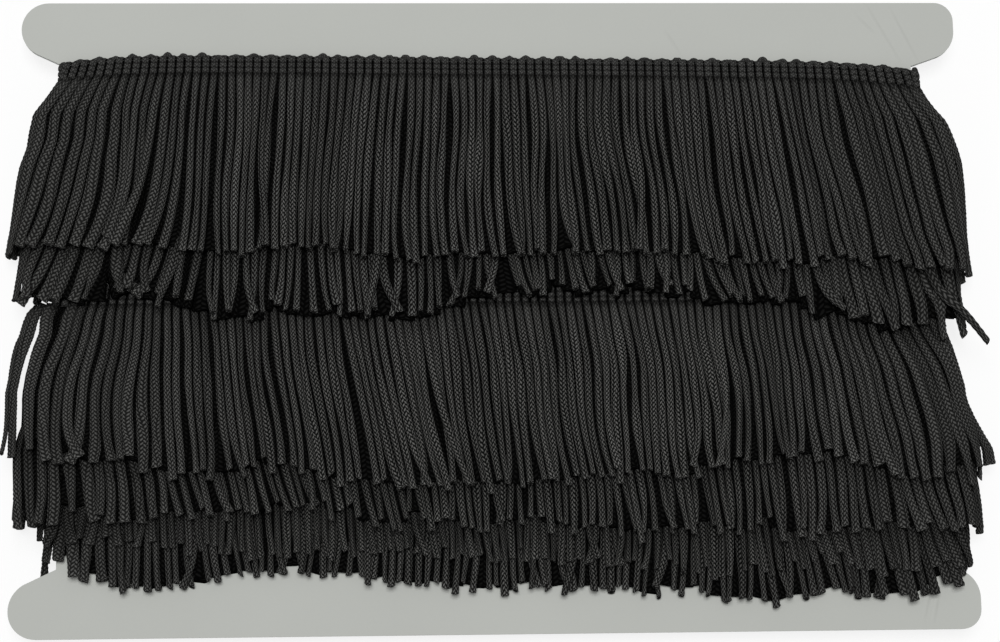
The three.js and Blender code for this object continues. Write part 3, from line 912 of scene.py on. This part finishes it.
# %% [markdown]
# ## Knitted loops
# Both the cords and the heading are knitted from the same dull black yarn, and both show
# rows of small V-shaped loops. A shader node group draws these once from a piece's own
# UV map, where U goes once round the tube and V counts stitches. In each column of loops,
# which knitters call a wale, the pattern slants up to both sides, and neighbouring legs
# are half a stitch apart, as the tube's own relief is. Loops made as real threads would
# need millions of faces, and at this size they would look no better.

# %% The loops of a knitted tube
LEG_SLANT = 0.55  # stitches that a loop's leg rises over its own width
LEG_SIDE, WALE_SIDE = 0.45, 0.5  # height left at the sides of a leg and of a wale
STITCH_LOW = 0.05  # height left between one stitch and the next
LOOP_EDGE, LOOP_CREST = 0.18, 0.8


def make_loop_group():
    """Wales of V-shaped loops, each of two legs that slant apart, half a stitch out of step.

    height = stitch * leg * wale, where stitch = low + high * sin(pi * (V + slant * across
    + leg / 2)) ** 2, and leg and wale are low at their sides and 1 in their middle.
    """
    group, start, end = new_group(
        "knitted loops",
        [("UV", "NodeSocketVector", None), ("Wales", "NodeSocketFloat", 6.0)],
        [("Height", "NodeSocketFloat"), ("Loop", "NodeSocketFloat")],
    )

    def sum_of(value, scale, offset):
        return maths(group, "MULTIPLY_ADD", value, scale, offset)

    parts = add_node(group, "ShaderNodeSeparateXYZ", [start.outputs["UV"]])
    wales = maths(group, "MULTIPLY", parts.outputs[0], start.outputs["Wales"])
    legs = maths(group, "MULTIPLY", wales, 2.0)
    odd = maths(group, "FLOORED_MODULO", maths(group, "FLOOR", legs), 2.0)
    across = maths(group, "SUBTRACT", maths(group, "FRACT", legs), 0.5)
    slant = sum_of(odd, -2 * LEG_SLANT, LEG_SLANT)
    phase = sum_of(odd, 0.5, sum_of(across, slant, parts.outputs[1]))
    wave = maths(group, "SINE", maths(group, "MULTIPLY", phase, math.pi))
    stitch = sum_of(maths(group, "MULTIPLY", wave, wave), 1 - STITCH_LOW, STITCH_LOW)
    leg = maths(group, "COSINE", maths(group, "MULTIPLY", across, math.pi))
    leg = sum_of(leg, 1 - LEG_SIDE, LEG_SIDE)
    wale = maths(group, "ABSOLUTE", maths(group, "SINE", maths(group, "MULTIPLY", wales, math.pi)))
    wale = sum_of(wale, 1 - WALE_SIDE, WALE_SIDE)
    height = maths(group, "MULTIPLY", stitch, maths(group, "MULTIPLY", leg, wale))
    group.links.new(height, end.inputs["Height"])
    seen = add_node(
        group, "ShaderNodeMapRange", [height, LOOP_EDGE, LOOP_CREST], interpolation_type="SMOOTHSTEP"
    )
    group.links.new(seen.outputs["Result"], end.inputs["Loop"])
    return group


loops_group = make_loop_group()
print("group", loops_group.name, "has", len(loops_group.nodes), "nodes")

# %% [markdown]
# ## Yarn
# The yarn is a dull, very dark grey without shine. Its loops catch a little light and
# the gaps between them go nearly black in shade, and that shade is painted: the colour goes from a gap
# colour of painted shade to the loop colour by the group's Loop output.
# Where the knitting is stretched, under the heading and beside the folds, loops and gaps
# run together, and the pieces' "pulled" numbers even them out. Fuzz is fine noise on
# Object coordinates, because real fibres would be finer than the render shows.

# %% Yarn
YARN_LOOP = (0.123, 0.123, 0.118, 1)
HEADING_LOOP = (0.086, 0.086, 0.083, 1)
# Painted shade: the gap colours stand for the shade between the knitted loops.
YARN_GAP_PAINTED_SHADE = (0.0065, 0.0065, 0.0062, 1)
HEADING_GAP_PAINTED_SHADE = (0.026, 0.026, 0.025, 1)
EVEN_LOOP = 0.3  # what the loops come to where the knitting is pulled smooth
FUZZ = (2200.0, 2.0, 0.6)  # scale, detail and roughness of its noise
FUZZ_TONE, FUZZ_DARKEST, FUZZ_HEIGHT = 0.5, 0.75, 0.25
YARN_ROUGHNESS, YARN_BUMP = 0.55, 0.7


def yarn_material(name, wales, depth_mm, loop, gap):
    """Colour = lerp(gap, loop, seen) * tone * fuzz, where seen is Loop, evened by pulled; the gap colour
    and the tone are painted shade in part.
    """
    material, tree, shader = new_material(name, YARN_ROUGHNESS, 0.0)
    uv = add_node(tree, "ShaderNodeUVMap", uv_map="cord")
    knit = add_node(tree, "ShaderNodeGroup")
    knit.node_tree = loops_group
    tree.links.new(uv.outputs["UV"], knit.inputs["UV"])
    knit.inputs["Wales"].default_value = wales
    where = add_node(tree, "ShaderNodeTexCoord").outputs["Object"]
    fuzz = add_node(tree, "ShaderNodeTexNoise", [where, None, *FUZZ])
    tone_and_shade = add_node(tree, "ShaderNodeAttribute", attribute_name="tone_and_shade")
    pulled = add_node(tree, "ShaderNodeAttribute", attribute_name="pulled")
    flatter = maths(tree, "SUBTRACT", EVEN_LOOP, knit.outputs["Loop"])
    seen = maths(tree, "MULTIPLY_ADD", flatter, pulled.outputs["Fac"], knit.outputs["Loop"])
    mixed = add_node(tree, "ShaderNodeMix", data_type="RGBA")
    tree.links.new(seen, mixed.inputs["Factor"])
    mixed.inputs["A"].default_value = gap
    mixed.inputs["B"].default_value = loop
    fuzzy = maths(tree, "MULTIPLY_ADD", fuzz.outputs["Fac"], FUZZ_TONE, FUZZ_DARKEST)
    strength = maths(tree, "MULTIPLY", tone_and_shade.outputs["Fac"], fuzzy)
    paint(tree, shader, mixed.outputs["Result"], strength)
    height = maths(tree, "MULTIPLY_ADD", fuzz.outputs["Fac"], FUZZ_HEIGHT, knit.outputs["Height"])
    emboss(tree, shader, height, YARN_BUMP, depth_mm)
    return material


# Wales round the tube, and the depth of the loops in millimetres.
cord_yarn = yarn_material("chainette yarn", 6, 0.25, YARN_LOOP, YARN_GAP_PAINTED_SHADE)
heading_yarn = yarn_material("heading yarn", 5, 0.2, HEADING_LOOP, HEADING_GAP_PAINTED_SHADE)
seam_thread = yarn_material("seam thread", 1, 0.1, HEADING_LOOP, HEADING_GAP_PAINTED_SHADE)
print("yarns:", ", ".join(yarn.name for yarn in (cord_yarn, heading_yarn, seam_thread)))

# %% [markdown]
# ## Grey board
# The card is smooth grey board: almost one colour, with faint clouds, fine fibres and a
# few soft creases where it was bent in handling. Each crease is a short line with its
# own ends, so it is drawn from a point's distance to it. Noise could not place it.

# %% Creases
CREASE_MM, CREASE_HEIGHT, CREASE_PAINTED_SHADE = 0.8, 7.0, 0.03
# Where the board was bent a little: from (x, y) to (x, y), in millimetres.
CREASES = (
    ((104.5, 88.5), (115.0, 69.0)), ((111.5, 87.0), (120.0, 69.0)),
    ((102.0, 84.0), (108.0, 78.0)), ((48.0, 80.0), (53.0, 72.0)),
    ((117.6, -72.0), (114.0, -85.5)), ((119.4, -74.0), (116.6, -86.0)),
)


def creases_in(tree, where):
    """Soft bends in the board: 1 along the middle of each crease, 0 away from all.

    One crease is smoothstep(1 - distance to its line / width) * 4 t (1 - t), where t goes
    from 0 to 1 between its ends.
    """
    total = 0.0
    for start, end in CREASES:
        start, end = (from_card(np.array([*point, 0.0])) for point in (start, end))
        length = np.linalg.norm(end - start)
        forward = (end - start) / length
        from_start = add_node(tree, "ShaderNodeVectorMath", [where, start], operation="SUBTRACT")
        dots = [
            add_node(
                tree, "ShaderNodeVectorMath", [from_start.outputs["Vector"], axis],
                operation="DOT_PRODUCT",
            ).outputs["Value"]
            for axis in ((forward[1], -forward[0], 0), forward / length)
        ]
        near = add_node(
            tree, "ShaderNodeMapRange",
            [maths(tree, "ABSOLUTE", dots[0]), 0.0, CREASE_MM * MM, 1.0, 0.0],
            interpolation_type="SMOOTHSTEP",
        )
        rest = maths(tree, "SUBTRACT", 1.0, dots[1])
        ends = maths(tree, "MULTIPLY", maths(tree, "MULTIPLY", dots[1], 4.0), rest, clamp=True)
        total = maths(tree, "MULTIPLY_ADD", near.outputs["Result"], ends, total)
    return total


# %% Grey board
BOARD_GREY = (0.473, 0.485, 0.456, 1)
BOARD_ROUGHNESS, BOARD_SPECULAR, BOARD_BUMP, FIBRE_MM = 0.55, 0.3, 0.25, 0.05
CLOUDS, FIBRES = (22.0, 3.0, 0.55), (1400.0, 2.0, 0.6)  # scale, detail and roughness
CLOUD_SHADE, CLOUD_DARKEST, FIBRE_SHADE = 0.08, 0.945, 0.03


def board_material():
    """Colour = grey * (clouds + fibres - creases as painted shade), and a bump of fibres and creases."""
    material, tree, shader = new_material("grey board", BOARD_ROUGHNESS, BOARD_SPECULAR)
    where = add_node(tree, "ShaderNodeTexCoord").outputs["Object"]
    clouds = add_node(tree, "ShaderNodeTexNoise", [where, None, *CLOUDS])
    fibres = add_node(tree, "ShaderNodeTexNoise", [where, None, *FIBRES])
    creases = creases_in(tree, where)
    mottle_and_painted_crease_shade = maths(tree, "MULTIPLY_ADD", clouds.outputs["Fac"], CLOUD_SHADE, CLOUD_DARKEST)
    mottle_and_painted_crease_shade = maths(tree, "MULTIPLY_ADD", fibres.outputs["Fac"], FIBRE_SHADE, mottle_and_painted_crease_shade)
    # Painted shade: each crease is also a little darker in colour, where shade falls in the bend.
    mottle_and_painted_crease_shade = maths(tree, "MULTIPLY_ADD", creases, -CREASE_PAINTED_SHADE, mottle_and_painted_crease_shade)
    paint(tree, shader, BOARD_GREY, mottle_and_painted_crease_shade)
    height = maths(tree, "MULTIPLY_ADD", creases, CREASE_HEIGHT, fibres.outputs["Fac"])
    emboss(tree, shader, height, BOARD_BUMP, FIBRE_MM)
    return material


grey_board = board_material()
print(grey_board.name, "has", len(CREASES), "creases")

# %% [markdown]
# ## The card
# The card is die-cut board: two lips with rounded ends and a narrower waist that keeps
# the trim in place. Its right-hand corners are cut a little squarer than the left ones.
# An outline is arcs and one straight line, each a formula.

# %% The card's outline
LIP_HALF_WIDTH, CARD_HALF_HEIGHT = 130.0, 87.4
LEFT_CORNER, RIGHT_CORNER = (7.4, 79.9), (5.3, 79.1)  # radius, where the lip's throat begins
LIP_INNER_RADIUS, LIP_INNER_TURN = 8.0, math.radians(69)
WAIST_HALF_HEIGHT = 69.0
WAIST_ROWS = 25


def arc(centre_x, centre_y, radius, start, end, count=12):
    """Points on a circle: centre + radius * (cos, sin) of evenly spaced angles."""
    angle = np.linspace(start, end, count)
    return np.stack([centre_x + radius * np.cos(angle), centre_y + radius * np.sin(angle)], -1)


def card_side(corner, throat_y):
    """A right-hand outline from top to bottom: lip, waist and the lip mirrored."""
    throat_x = LIP_HALF_WIDTH - LIP_INNER_RADIUS
    lip = np.concatenate([
        arc(LIP_HALF_WIDTH - corner, CARD_HALF_HEIGHT - corner, corner, math.pi / 2, 0),
        arc(throat_x, throat_y, LIP_INNER_RADIUS, 0, -LIP_INNER_TURN),
    ])
    waist_y = np.linspace(WAIST_HALF_HEIGHT, -WAIST_HALF_HEIGHT, WAIST_ROWS)
    waist = np.stack([np.full(WAIST_ROWS, WAIST), waist_y], -1)
    return np.concatenate([lip, waist, lip[::-1] * (1, -1)])


# %% [markdown]
# The face is a grid, down the outline by across the card: each row runs from the
# outline's left point to its right one. Solidify gives the board its thickness and Bevel
# softens the cut edge. A filled curve would be shorter to write, but its triangles are
# long and thin, and nobody chooses where they go.

# %% The board
CARD_COLUMNS = 41
CUT_EDGE_MM, CUT_EDGE_STEPS, CUT_EDGE_FROM = 0.25, 2, math.radians(60)


def make_card():
    """Point = left + (right - left) * across, for each row of the outline."""
    left, right = card_side(*LEFT_CORNER) * (-1, 1), card_side(*RIGHT_CORNER)
    across = np.linspace(0, 1, CARD_COLUMNS)
    x, y = (lerp(left[:, i : i + 1], right[:, i : i + 1], across) for i in (0, 1))
    z = np.full_like(x, (CARD_BACK + CARD_FRONT) / 2)
    rows, columns = x.shape
    index = np.arange(rows * columns).reshape(rows, columns)
    faces = np.stack([index[:-1, :-1], index[1:, :-1], index[1:, 1:], index[:-1, 1:]], -1)
    mesh = bpy.data.meshes.new("card_board")
    points = from_card(np.stack([x, y, z], -1))
    mesh.from_pydata(points.reshape(-1, 3).tolist(), [], faces.reshape(-1, 4).tolist())
    mesh.materials.append(grey_board)
    piece = add_object("card_board", mesh)
    board = piece.modifiers.new("board", "SOLIDIFY")
    board.thickness = (CARD_FRONT - CARD_BACK) * MM
    board.offset = 0
    softened = piece.modifiers.new("cut edge", "BEVEL")
    softened.width = CUT_EDGE_MM * MM
    softened.segments = CUT_EDGE_STEPS
    softened.limit_method = "ANGLE"
    softened.angle_limit = CUT_EDGE_FROM
    print("the card has", rows, "rows of", columns, "points")
    return piece


card_piece = make_card()
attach(card_piece, "root")
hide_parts("card")

# %% [markdown]
# ## Cords behind a row
# Between the cords of a row one sees those further in, which get hardly any light. Turns
# that nobody sees whole need not be made whole: behind each row of the face hang flat
# cords, one in each gap and a little wider than it, painted nearly black as painted shade. A
# dark sheet would do as well in the gaps, but it would show as a straight edge at the tips.

# %% Cords behind a row
SEED = 7
ROOT = "root"
BEHIND_START = 1.8
BEHIND_SHORTER, BEHIND_SHORTER_AT_FOLDS = (1.0, 1.0, 1.0, -0.8, 1.0), (4, 4, 4, 6.5, 4)
BEHIND_AT_FOLD = (WAIST - 16, WAIST - 4)
BEHIND_PAINTED_SHADE, BEHIND_PULLED = 0.08, 0.35
BEHIND_LIFT, BEHIND_THICK, BEHIND_SIDES = -0.65, 1.2, 6
BEHIND_OVERLAP, BEHIND_NARROWEST, BEHIND_WIDEST = 0.8, 2.2, 8.0


def add_behind(name, k, heads, depth, along):
    """Flat cords behind a row, painted nearly black as shade: one in each gap, a little wider than the
    gap is.
    """
    apart = np.diff(along, axis=0)
    width = np.clip(apart + BEHIND_OVERLAP, BEHIND_NARROWEST, BEHIND_WIDEST)
    tips = (depth[1:, -1:] + depth[:-1, -1:]) / 2 - BEHIND_SHORTER[k]
    tips -= BEHIND_SHORTER_AT_FOLDS[k] * share(np.abs(heads[1:, None]), *BEHIND_AT_FOLD)
    level = np.linspace(0, 1, LEVELS)
    row = (
        BEHIND_START + (tips - BEHIND_START) * level,
        (along[1:] + along[:-1]) / 2,
        np.full(width.shape, BEHIND_LIFT),
        width,
    )
    between = (heads[1:] + heads[:-1]) / 2
    rng = np.random.default_rng(SEED)
    rings, stitch_at = cord_rings(
        rng, True, k, between, row, 1.0, sides=BEHIND_SIDES, thick=BEHIND_THICK
    )
    # Painted shade: these cords are painted nearly black.
    tone_and_shade = np.full(len(between), BEHIND_PAINTED_SHADE)
    piece = tubes("behind_" + name, rings, stitch_at, tone_and_shade, cord_yarn, BEHIND_PULLED)
    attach(piece, ROOT)
    return piece


# %% [markdown]
# ## A row of cords, made
# Each point of a cord has its own tone, which also carries painted shade. A row is painted
# darker where its cords come out from under the heading, beside the folds and just under
# another row's tips, which is where light does not reach, and a little lighter at the
# frayed tips. Rendered shadows give most of this shade, and the painted shade deepens it.

# %% Making a row of cords
# Painted shade: rows lower down are darker in colour, as they lie in the shadow of the rows above.
ROW_PAINTED_SHADE = (0.86, 0.93, 1.0, 0.97, 1.0)  # rows lower down keep to the shade
TONES_VARY = 0.09
# Painted shade: the tops of the cords, where they come out from under the heading, are darker in colour.
TOP_PAINTED_SHADE, TOP_SHADE_STITCHES = 0.25, (0.5, 2.0)  # the darkest, and over which stitches it fades
TIP_FRAY, FRAYED_STITCHES = 0.3, 1.5
# Painted shade: a cord is darker in colour just under another row's tips, where their shadow falls.
UNDER_TIPS_PAINTED_SHADE, UNDER_TIPS_SHADE_DEPTHS = 0.62, (-1, 6)
# Painted shade: cords beside a fold are darker in colour, where less light reaches them.
SIDE_PAINTED_SHADE, BESIDE_FOLD = 0.14, (WAIST - 55, WAIST - 15)
PULLED_AT_TOP, PULLED_STITCHES, PULLED_BESIDE_FOLD = 0.4, (9, 3), 0.2


def tones_with_shade(rng, k, heads, rings, stitch_at, covered_by):
    """Tone of each ring, painted shade included: row * chance * top * tip * under other tips * beside a
    fold.
    """
    tone_and_shade = (1 + TONES_VARY * rng.normal(0, 1, (len(heads), 1))) * ROW_PAINTED_SHADE[k]
    tone_and_shade = tone_and_shade * lerp(TOP_PAINTED_SHADE, 1, share(stitch_at, *TOP_SHADE_STITCHES))
    tone_and_shade = tone_and_shade * (1 + TIP_FRAY * share(stitch_at, STITCHES - FRAYED_STITCHES, STITCHES))
    if covered_by is not None:
        middle = rings.mean(2)
        places, heights = np.array(covered_by).T
        below_tips = np.interp(middle[..., 0], places, heights) - middle[..., 1]
        tone_and_shade = tone_and_shade * lerp(UNDER_TIPS_PAINTED_SHADE, 1, share(below_tips, *UNDER_TIPS_SHADE_DEPTHS))
    return tone_and_shade * (1 - SIDE_PAINTED_SHADE * share(np.abs(heads[:, None]), *BESIDE_FOLD))


def add_cords(
    name, face, k, start, end, shown_from, seed, tip_heights=None, raised=0.0, covered_by=None, **options
):
    """Lays out, settles and shapes one row of cords, from start to end of its heading."""
    rng = np.random.default_rng(SEED + seed)
    heads = evenly(start, end)
    depth, along, lift = row_of_cords(rng, face, k, heads, tip_heights, raised)
    width = soft_widths(rng, len(heads))
    along, lift = settle(along, lift, width, FACE_LIFTS if face else BACK_LIFTS)
    hung = along.copy()
    if face:
        along, lift = with_strays(k, heads, depth, along, lift)
    row = depth, along, lift, width
    rings, stitch_at = cord_rings(rng, face, k, heads, row, shown_from, **options)
    tone_and_shade = tones_with_shade(rng, k, heads, rings, stitch_at, covered_by)
    at_fold = PULLED_BESIDE_FOLD * share(np.abs(heads[:, None]), *BESIDE_FOLD)
    pulled = np.maximum(at_fold, PULLED_AT_TOP * share(stitch_at, *PULLED_STITCHES))
    piece = tubes("cords_" + name, rings, stitch_at, tone_and_shade, cord_yarn, pulled)
    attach(piece, ROOT)
    if face:
        add_behind(name, k, heads, depth, hung)


# %% [markdown]
# A turn's face half runs from the middle of its left fold to the middle of its right
# fold. Where a row is covered, its stitches are left out above the part that shows,
# because nobody can see them there and each stitch costs 32 triangles.

# %% Rows on the face
ROUND = WAIST + QUARTER_AT_HEADING  # from the middle to the outermost line of a fold
SHOWN_FROM = (0.66, 0.74, 0.0, 0.70, 0.0)
for k in TURNS:
    start = START_X if k == 0 else -ROUND
    add_cords(
        "face_%d" % (k + 1), True, k, start, ROUND, SHOWN_FROM[k], k,
        tip_heights=TIP_HEIGHTS[k], covered_by=TIP_HEIGHTS.get(k + 1),
    )

# %% [markdown]
# The innermost turn has shorter cords too, which lie on its long ones. They are a row of
# their own, raised by half a layer, with their own table of tips.

# %% The short row
SHORT_START, SHORT_SHOWN_FROM, SHORT_SEED, SHORT_RAISED = START_X + 1, 0.78, 12, 1.45
add_cords(
    "face_1_short", True, 0, SHORT_START, WAIST, SHORT_SHOWN_FROM, SHORT_SEED,
    tip_heights=SHORT_TIPS, covered_by=TIP_HEIGHTS[1], raised=SHORT_RAISED,
)

# %% [markdown]
# ## The rows behind the card
# The trim goes on round the back and climbs there to its next turn's height. Nothing is
# seen of it from the front, and from behind mostly the last two turns. So the cords have
# fewer sides and rings there, and their stitches are drawn by the yarn's material alone.

# %% Rows behind the card
BACK_SIDES, BACK_SEED, BACK_SHOWN_FROM = 6, 20, (0.5, 0.5, 0.5, 0.0, 0.5)
BACK_FINE_STEPS = (4, 4, 4, 2, 2)
for k in TURNS:
    end = TAIL_X if k == OUTERMOST else -ROUND
    add_cords(
        "back_%d" % (k + 1), False, k, end, ROUND, BACK_SHOWN_FROM[k], BACK_SEED + k,
        sides=BACK_SIDES, fine_step=BACK_FINE_STEPS[k],
    )
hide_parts("fringe")

# %% [markdown]
# ## The heading
# Each cord comes down from the heading, and two neighbours are one cord that turns over
# at the top, which makes the small scallops of the upper edge. Four rows of stitches
# bind these ribs together and pinch them into three rows of blocks, with the thickest
# thread at the top. So the heading is a row of short tubes that swell between the seams, with
# a thin loop over each pair and four waving threads across. A band with a pattern would
# be lighter, but the scallops and the pinched blocks show at its edge.

# %% Ribs
RIB_WIDTH, RIB_DEPTH = 2.0, 1.9
RIBS_VARY, RIB_WIDTHS_VARY, RIB_TONES_VARY = 0.06, 0.04, 0.06
SEAM_DEPTHS = (1.1, 2.9, 4.45, 6.2)
RIB_BULGE = ((0.05, 0.3), (0.22, 0.9), (0.5, 1.0), (0.78, 0.9), (0.95, 0.3))
RIB_STITCH = 0.95
RIB_LIFT = 0.3
PINCHED_PAINTED_SHADE, PINCHED_WIDTH, PINCHED_DEPTH = 0.2, 0.88, 0.45


def rib_rings(shown):
    """Depth and bulge of a rib's rings, from the bottom up: it swells between seams."""
    rings = [
        (lerp(high, low, part), bulge)
        for high, low in zip(SEAM_DEPTHS[::-1], SEAM_DEPTHS[-2::-1])
        for part, bulge in RIB_BULGE[:: 1 if shown else 2]
    ]
    return np.array(rings).T


# %% [markdown]
# The loops are the same kind of tube as the ribs, half a circle each, and no two are
# quite alike.

# %% Ribs and their loops
LOOP_WIDTH, LOOP_SPREAD, LOOP_TONE = 1.25, 0.45, 0.85
LOOP_BASE, LOOP_RISE, LOOP_POINTED, LOOPS_VARY = 1.45, 0.8, 1.6, 0.3
LOOP_LEANS, LOOP_WIDENS, LOOP_WAVES = 0.3, 0.4, 0.5  # shares of LOOPS_VARY
COVERED_SIDES = 5


def make_heading(face, k, start, end, name, shown):
    """A rib for each cord, and over each two ribs the loop in which one cord turns.

    A loop is depth = base - rise * sin(turn) ** 1.6, along = middle + spread * cos(turn).
    """
    rng = np.random.default_rng(SEED + 50 + k + 10 * face)
    heads = evenly(start, end)
    heads = heads[: len(heads) // 2 * 2]
    rib_depths, bulge = rib_rings(shown)
    sides = SIDES if shown else COVERED_SIDES
    shape = (len(heads), len(rib_depths))
    depth = rib_depths + rng.normal(0, RIBS_VARY, (len(heads), 1))
    width = RIB_WIDTH * lerp(PINCHED_WIDTH, 1, bulge)
    width = width * rng.normal(1, RIB_WIDTHS_VARY, (len(heads), 1))
    thick = RIB_DEPTH * lerp(PINCHED_DEPTH, 1, bulge) + np.zeros(shape)
    pairs = heads.reshape(-1, 2)
    turn = np.linspace(math.pi, 0, len(rib_depths))
    vary = rng.normal(0, LOOPS_VARY, (5, len(pairs), 1))
    loop_along = pairs.mean(1)[:, None] + LOOP_SPREAD * PITCH * np.cos(turn)
    loop_along += vary[0] * np.sin(turn) + LOOP_LEANS * vary[1] * np.sin(2 * turn)
    loop_depth = LOOP_BASE - (LOOP_RISE + vary[2]) * np.sin(turn) ** (LOOP_POINTED + vary[3])
    loop_depth += LOOP_WAVES * vary[4] * np.sin(3 * turn) ** 2
    loop_width = LOOP_WIDTH + LOOP_WIDENS * vary[3] + 0 * turn
    along = np.concatenate([heads[:, None] + np.zeros(shape), loop_along])
    depth = np.concatenate([depth, loop_depth])
    lift = np.full(depth.shape, RIB_LIFT)
    half_width = np.concatenate([width, loop_width]) / 2
    half_depth = np.concatenate([thick, loop_width]) / 2
    centres, outward = place(face, k, along, lift, along, depth)
    rings = sweep(
        centres, outward, half_width, half_depth, 0 * depth, np.zeros((1, 1, sides)), sides
    )
    stitch_at = (rib_depths[0] - rib_depths) / RIB_STITCH
    tone_and_shade = 1 + RIB_TONES_VARY * rng.normal(0, 1, (len(rings), 1)) + 0 * rib_depths
    # Painted shade: ribs are darker in colour where the seams pinch them.
    tone_and_shade[: len(heads)] *= lerp(PINCHED_PAINTED_SHADE, 1, bulge)
    tone_and_shade[len(heads) :] *= LOOP_TONE
    piece = tubes(name, rings, stitch_at, tone_and_shade, heading_yarn)
    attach(piece, ROOT)
    return piece, heads


# %% [markdown]
# A seam is a stitched thread. It lies over the ribs and dips between them, so it is a
# wave in lift, with a smaller wave in height.

# %% Seams
THREAD_WIDTHS = (0.85, 0.34, 0.34, 0.34)
THREAD_LIFTS = (-0.2, 0.72)  # between ribs and over them
THREAD_WAVE, THREAD_PAINTED_SHADE = 0.15, (0.15, 0.8)
THREAD_STEPS, THREAD_SIDES = (2, 4), (4, 5)  # for covered headings and for those that show


def make_seams(face, k, heads, name, shown):
    """Threads that go over each rib and dip between ribs: a wave in lift and in height.

    lift = between + (over - between) * (1 - cos(2 pi rib)) / 2
    """
    steps = THREAD_STEPS[shown]
    quarter = np.arange(steps * len(heads) + 1) / steps
    along = heads[0] + (quarter - 0.5) * (heads[-1] - heads[0]) / (len(heads) - 1)
    over = 0.5 - 0.5 * np.cos(2 * math.pi * quarter)
    along = np.stack([along] * len(SEAM_DEPTHS))
    depth = np.array(SEAM_DEPTHS)[:, None] + THREAD_WAVE * np.sin(2 * math.pi * quarter)
    lift = np.broadcast_to(lerp(*THREAD_LIFTS, over), along.shape)
    centres, outward = place(face, k, along, lift, along, depth)
    half = np.array(THREAD_WIDTHS)[:, None] / 2 + 0 * along
    sides = THREAD_SIDES[shown]
    rings = sweep(centres, outward, half, half, 0 * along, np.zeros((1, 1, sides)), sides)
    # Painted shade: the thread is darker in colour where it dips between the ribs.
    tone_and_shade = lerp(*THREAD_PAINTED_SHADE, over) + 0 * along
    piece = tubes(name, rings, quarter * 2, tone_and_shade, seam_thread)
    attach(piece, ROOT)
    return piece


# %% [markdown]
# Each half turn gets its stretch of heading. Most of them lie under a later row of cords
# and are made with fewer sides and rings.

# %% Headings of all half turns
HEADINGS_SHOWN = ("face_5", "back_4", "back_5")  # rows of cords cover the others
for face in (True, False):
    for k in TURNS:
        start = START_X if face and k == 0 else TAIL_X if not face and k == OUTERMOST else -ROUND
        label = ("face" if face else "back") + "_%d" % (k + 1)
        shown = label in HEADINGS_SHOWN
        ribs, heads = make_heading(face, k, start, ROUND, "heading_" + label, shown)
        seams = make_seams(face, k, heads, "seams_" + label, shown)
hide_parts("heading")

# %% [markdown]
# ## The table
# The card lies on a plain white table. It shows white to the camera but keeps a soft
# shadow under the trim: its material mixes a plain diffuse white with a glow that only
# the camera and reflections see. More light would whiten a plain table too, but it would
# wash out the trim.

# %% Table
GLOW, GLOW_SHARE = 1.04, 0.8
TABLE_WHITE = (0.85, 0.85, 0.85, 1)
TABLE_HALF = 1.5


def mostly_glow(tree, diffuse, glow_share):
    """Mixes a shader with white light seen by camera, glossy and transmission rays alone."""
    rays = add_node(tree, "ShaderNodeLightPath")
    seen = maths(tree, "MAXIMUM", rays.outputs["Is Camera Ray"], rays.outputs["Is Glossy Ray"])
    seen = maths(tree, "MAXIMUM", seen, rays.outputs["Is Transmission Ray"])
    glow = add_node(tree, "ShaderNodeEmission")
    glow.inputs["Strength"].default_value = GLOW
    part = maths(tree, "MULTIPLY", seen, glow_share)
    return add_node(tree, "ShaderNodeMixShader", [part, diffuse, glow.outputs[0]]).outputs[0]


def make_table():
    """One square face at the height of the table, z = 0."""
    half = TABLE_HALF
    mesh = bpy.data.meshes.new("table")
    corners = [(-half, -half, 0), (half, -half, 0), (half, half, 0), (-half, half, 0)]
    mesh.from_pydata(corners, [], [(0, 1, 2, 3)])
    material = bpy.data.materials.new("white table")
    material.use_nodes = True
    tree = material.node_tree
    tree.nodes.remove(tree.nodes["Principled BSDF"])
    white = add_node(tree, "ShaderNodeBsdfDiffuse", [TABLE_WHITE])
    surface = mostly_glow(tree, white.outputs[0], GLOW_SHARE)
    tree.links.new(surface, tree.nodes["Material Output"].inputs["Surface"])
    mesh.materials.append(material)
    table = add_object("table", mesh)


make_table()
print("table", 2 * TABLE_HALF, "m wide")

# %% [markdown]
# ## Light
# One wide lamp above the top of the card gives the cords their soft shading from above,
# and an even sky fills in the rest. A small lamp would draw a hard line along each cord.
# The sky is white where the camera looks past the table, at the strength that lights
# nothing else.

# %% Sky and lamp
SKY_STRENGTH = 0.26
LAMP_WATTS = 56.0
LAMP_SIZE = 1.3
LAMP_AT = Vector((-0.1, 0.45, 2.75))


def make_sky():
    """A dim even sky that the camera alone sees as white."""
    world = bpy.data.worlds.new("sky")
    scene.world = world
    world.use_nodes = True
    tree = world.node_tree
    sky = tree.nodes["Background"]
    sky.inputs["Color"].default_value = (1, 1, 1, 1)
    sky.inputs["Strength"].default_value = SKY_STRENGTH
    white = add_node(tree, "ShaderNodeBackground", [(1, 1, 1, 1), 1.0])
    rays = add_node(tree, "ShaderNodeLightPath")
    mix = add_node(
        tree, "ShaderNodeMixShader", [rays.outputs["Is Camera Ray"], sky.outputs[0], white.outputs[0]]
    )
    tree.links.new(mix.outputs[0], tree.nodes["World Output"].inputs["Surface"])


def make_lamp():
    """A square lamp that looks at the middle of the card."""
    data = bpy.data.lights.new("wide lamp", "AREA")
    data.energy = LAMP_WATTS
    data.size = LAMP_SIZE
    lamp = add_object("wide lamp", data)
    aimed = (-LAMP_AT).to_track_quat("-Z", "Y").to_matrix().to_4x4()
    lamp.matrix_world = Matrix.Translation(LAMP_AT) @ aimed


make_sky()
make_lamp()
scene.view_settings.view_transform = "Standard"
print("lamp of", LAMP_WATTS, "W and sky of", SKY_STRENGTH)
